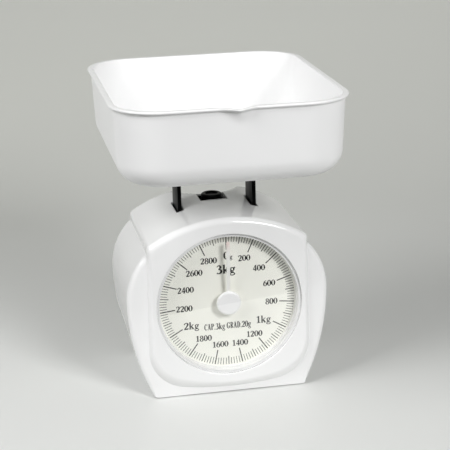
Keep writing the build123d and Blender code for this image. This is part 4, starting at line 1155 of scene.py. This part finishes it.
def paper_surface():
    """The background paper: flat in front, a quarter circle behind the scale, then upright; all of it turned
    about Z, so that it faces the camera: (x cos - y sin, x sin + y cos)."""
    flat = points_of(np.linspace(paper_front_y, paper_bend_y, 12), 0)
    swept = arc((paper_bend_y, paper_bend_radius), paper_bend_radius, -quarter_turn, 0, 24)[1:]
    top = points_of(paper_bend_y + paper_bend_radius, np.linspace(paper_bend_radius, paper_top_z, 6)[1:])
    y, z = np.concatenate([flat, swept, top]).T
    x = np.linspace(-paper_half_width, paper_half_width, 9)
    y, cos, sin = y[:, None], math.cos(paper_turn), math.sin(paper_turn)
    points = points_of(x * cos - y * sin, x * sin + y * cos, z[:, None])
    return points.reshape(-1, 3), grid_faces(len(z), len(x))


def coated_paper(tree, place):
    """Coated grey background paper: nearly matt. Well behind the scale it is painted paler, painted light in
    place of more light on the backdrop.
    """
    # Painted light: the paper's colour grows paler with depth, in place of lamp light on the backdrop
    depth = add_node(tree, "SeparateXYZ", {0: place}).outputs["Y"]
    limits = {"From Min": painted_light_start_y, "From Max": painted_light_end_y}
    back = add_node(tree, "MapRange", {**limits, "Value": depth})
    return solid_finish(tree, back, ("E0E1DF", "F0F1EB"), {"Roughness": 0.42})


def black_laminate(tree, place):
    """Laminate of a table top: dull, and black all over."""
    return add_node(tree, "BsdfPrincipled", {"Base Color": srgb("1E1F1E"), "Roughness": 0.6})


grey_paper = new_material("grey_paper", coated_paper)
dark_table = new_material("dark_table", black_laminate)
paper = mesh_piece("background_paper", *paper_surface(), grey_paper, None)
table_corners = [(x * table_half, y * table_half, table_z) for x, y in ((-1, -1), (1, -1), (1, 1), (-1, 1))]
table = mesh_piece("table_top", table_corners, [(0, 1, 2, 3)], dark_table, None)

middle_of_object = Vector((0, 0, 0.11))


def direction(azimuth, elevation):
    """Unit vector away from the object: azimuth 0 is in front of the dial and 90 degrees to its right."""
    across, rise = math.radians(azimuth), math.radians(elevation)
    return Vector((math.sin(across) * math.cos(rise), -math.cos(across) * math.cos(rise), math.sin(rise)))


def soft_lamp(name, azimuth, elevation, distance, size, power):
    """A square white soft box that looks at the object."""
    data = bpy.data.lights.new(name, "AREA")
    data.shape = "SQUARE"
    data.size = size
    data.energy = power
    lamp = bpy.data.objects.new(name, data)
    bpy.context.scene.collection.objects.link(lamp)
    away = direction(azimuth, elevation)
    lamp.location = middle_of_object + away * distance
    lamp.rotation_euler = away.to_track_quat("Z", "Y").to_euler()


soft_lamp("key_lamp", 25, 29, 1.4, 0.42, 12.4)
soft_lamp("overhead_lamp", 10, 82, 1.3, 0.8, 0.3)
soft_lamp("left_lamp", -67, 39, 1.2, 0.7, 10.3)

world = bpy.data.worlds.new("studio_room")
world.use_nodes = True
world.node_tree.nodes.clear()
room = add_node(world.node_tree, "Background", {"Color": srgb("D2D4D2"), "Strength": 0.14})
add_node(world.node_tree, "OutputWorld", {"Surface": room})
bpy.context.scene.world = world
bpy.context.scene.view_settings.view_transform = "Standard"

# Camera found from the dial ring, the case and the bowl in the photograph: where it stands, how it is turned,
# and its focal length in pixels of the 450-pixel frame
camera_place = Vector((-178.7, -983.1, 425.5)) * mm
camera_azimuth, camera_elevation = -10.68, 17.27
camera_roll = math.radians(-1.45)
focal_pixels = 1413.94
frame_pixels = 450
sensor_width = 36.0

level = Vector((math.cos(math.radians(camera_azimuth)), math.sin(math.radians(camera_azimuth)), 0))
back = direction(camera_azimuth, camera_elevation)
rise = back.cross(level)
right = level * math.cos(camera_roll) + rise * math.sin(camera_roll)
up = rise * math.cos(camera_roll) - level * math.sin(camera_roll)
camera_data = bpy.data.cameras.new("camera")
camera_data.sensor_width = sensor_width
camera_data.lens = focal_pixels / frame_pixels * sensor_width
camera_data.clip_start = 0.05
camera_data.clip_end = 20
camera = bpy.data.objects.new("camera", camera_data)
bpy.context.scene.collection.objects.link(camera)
camera.matrix_world = Matrix.Translation(camera_place) @ Matrix((right, up, back)).transposed().to_4x4()
bpy.context.scene.camera = camera
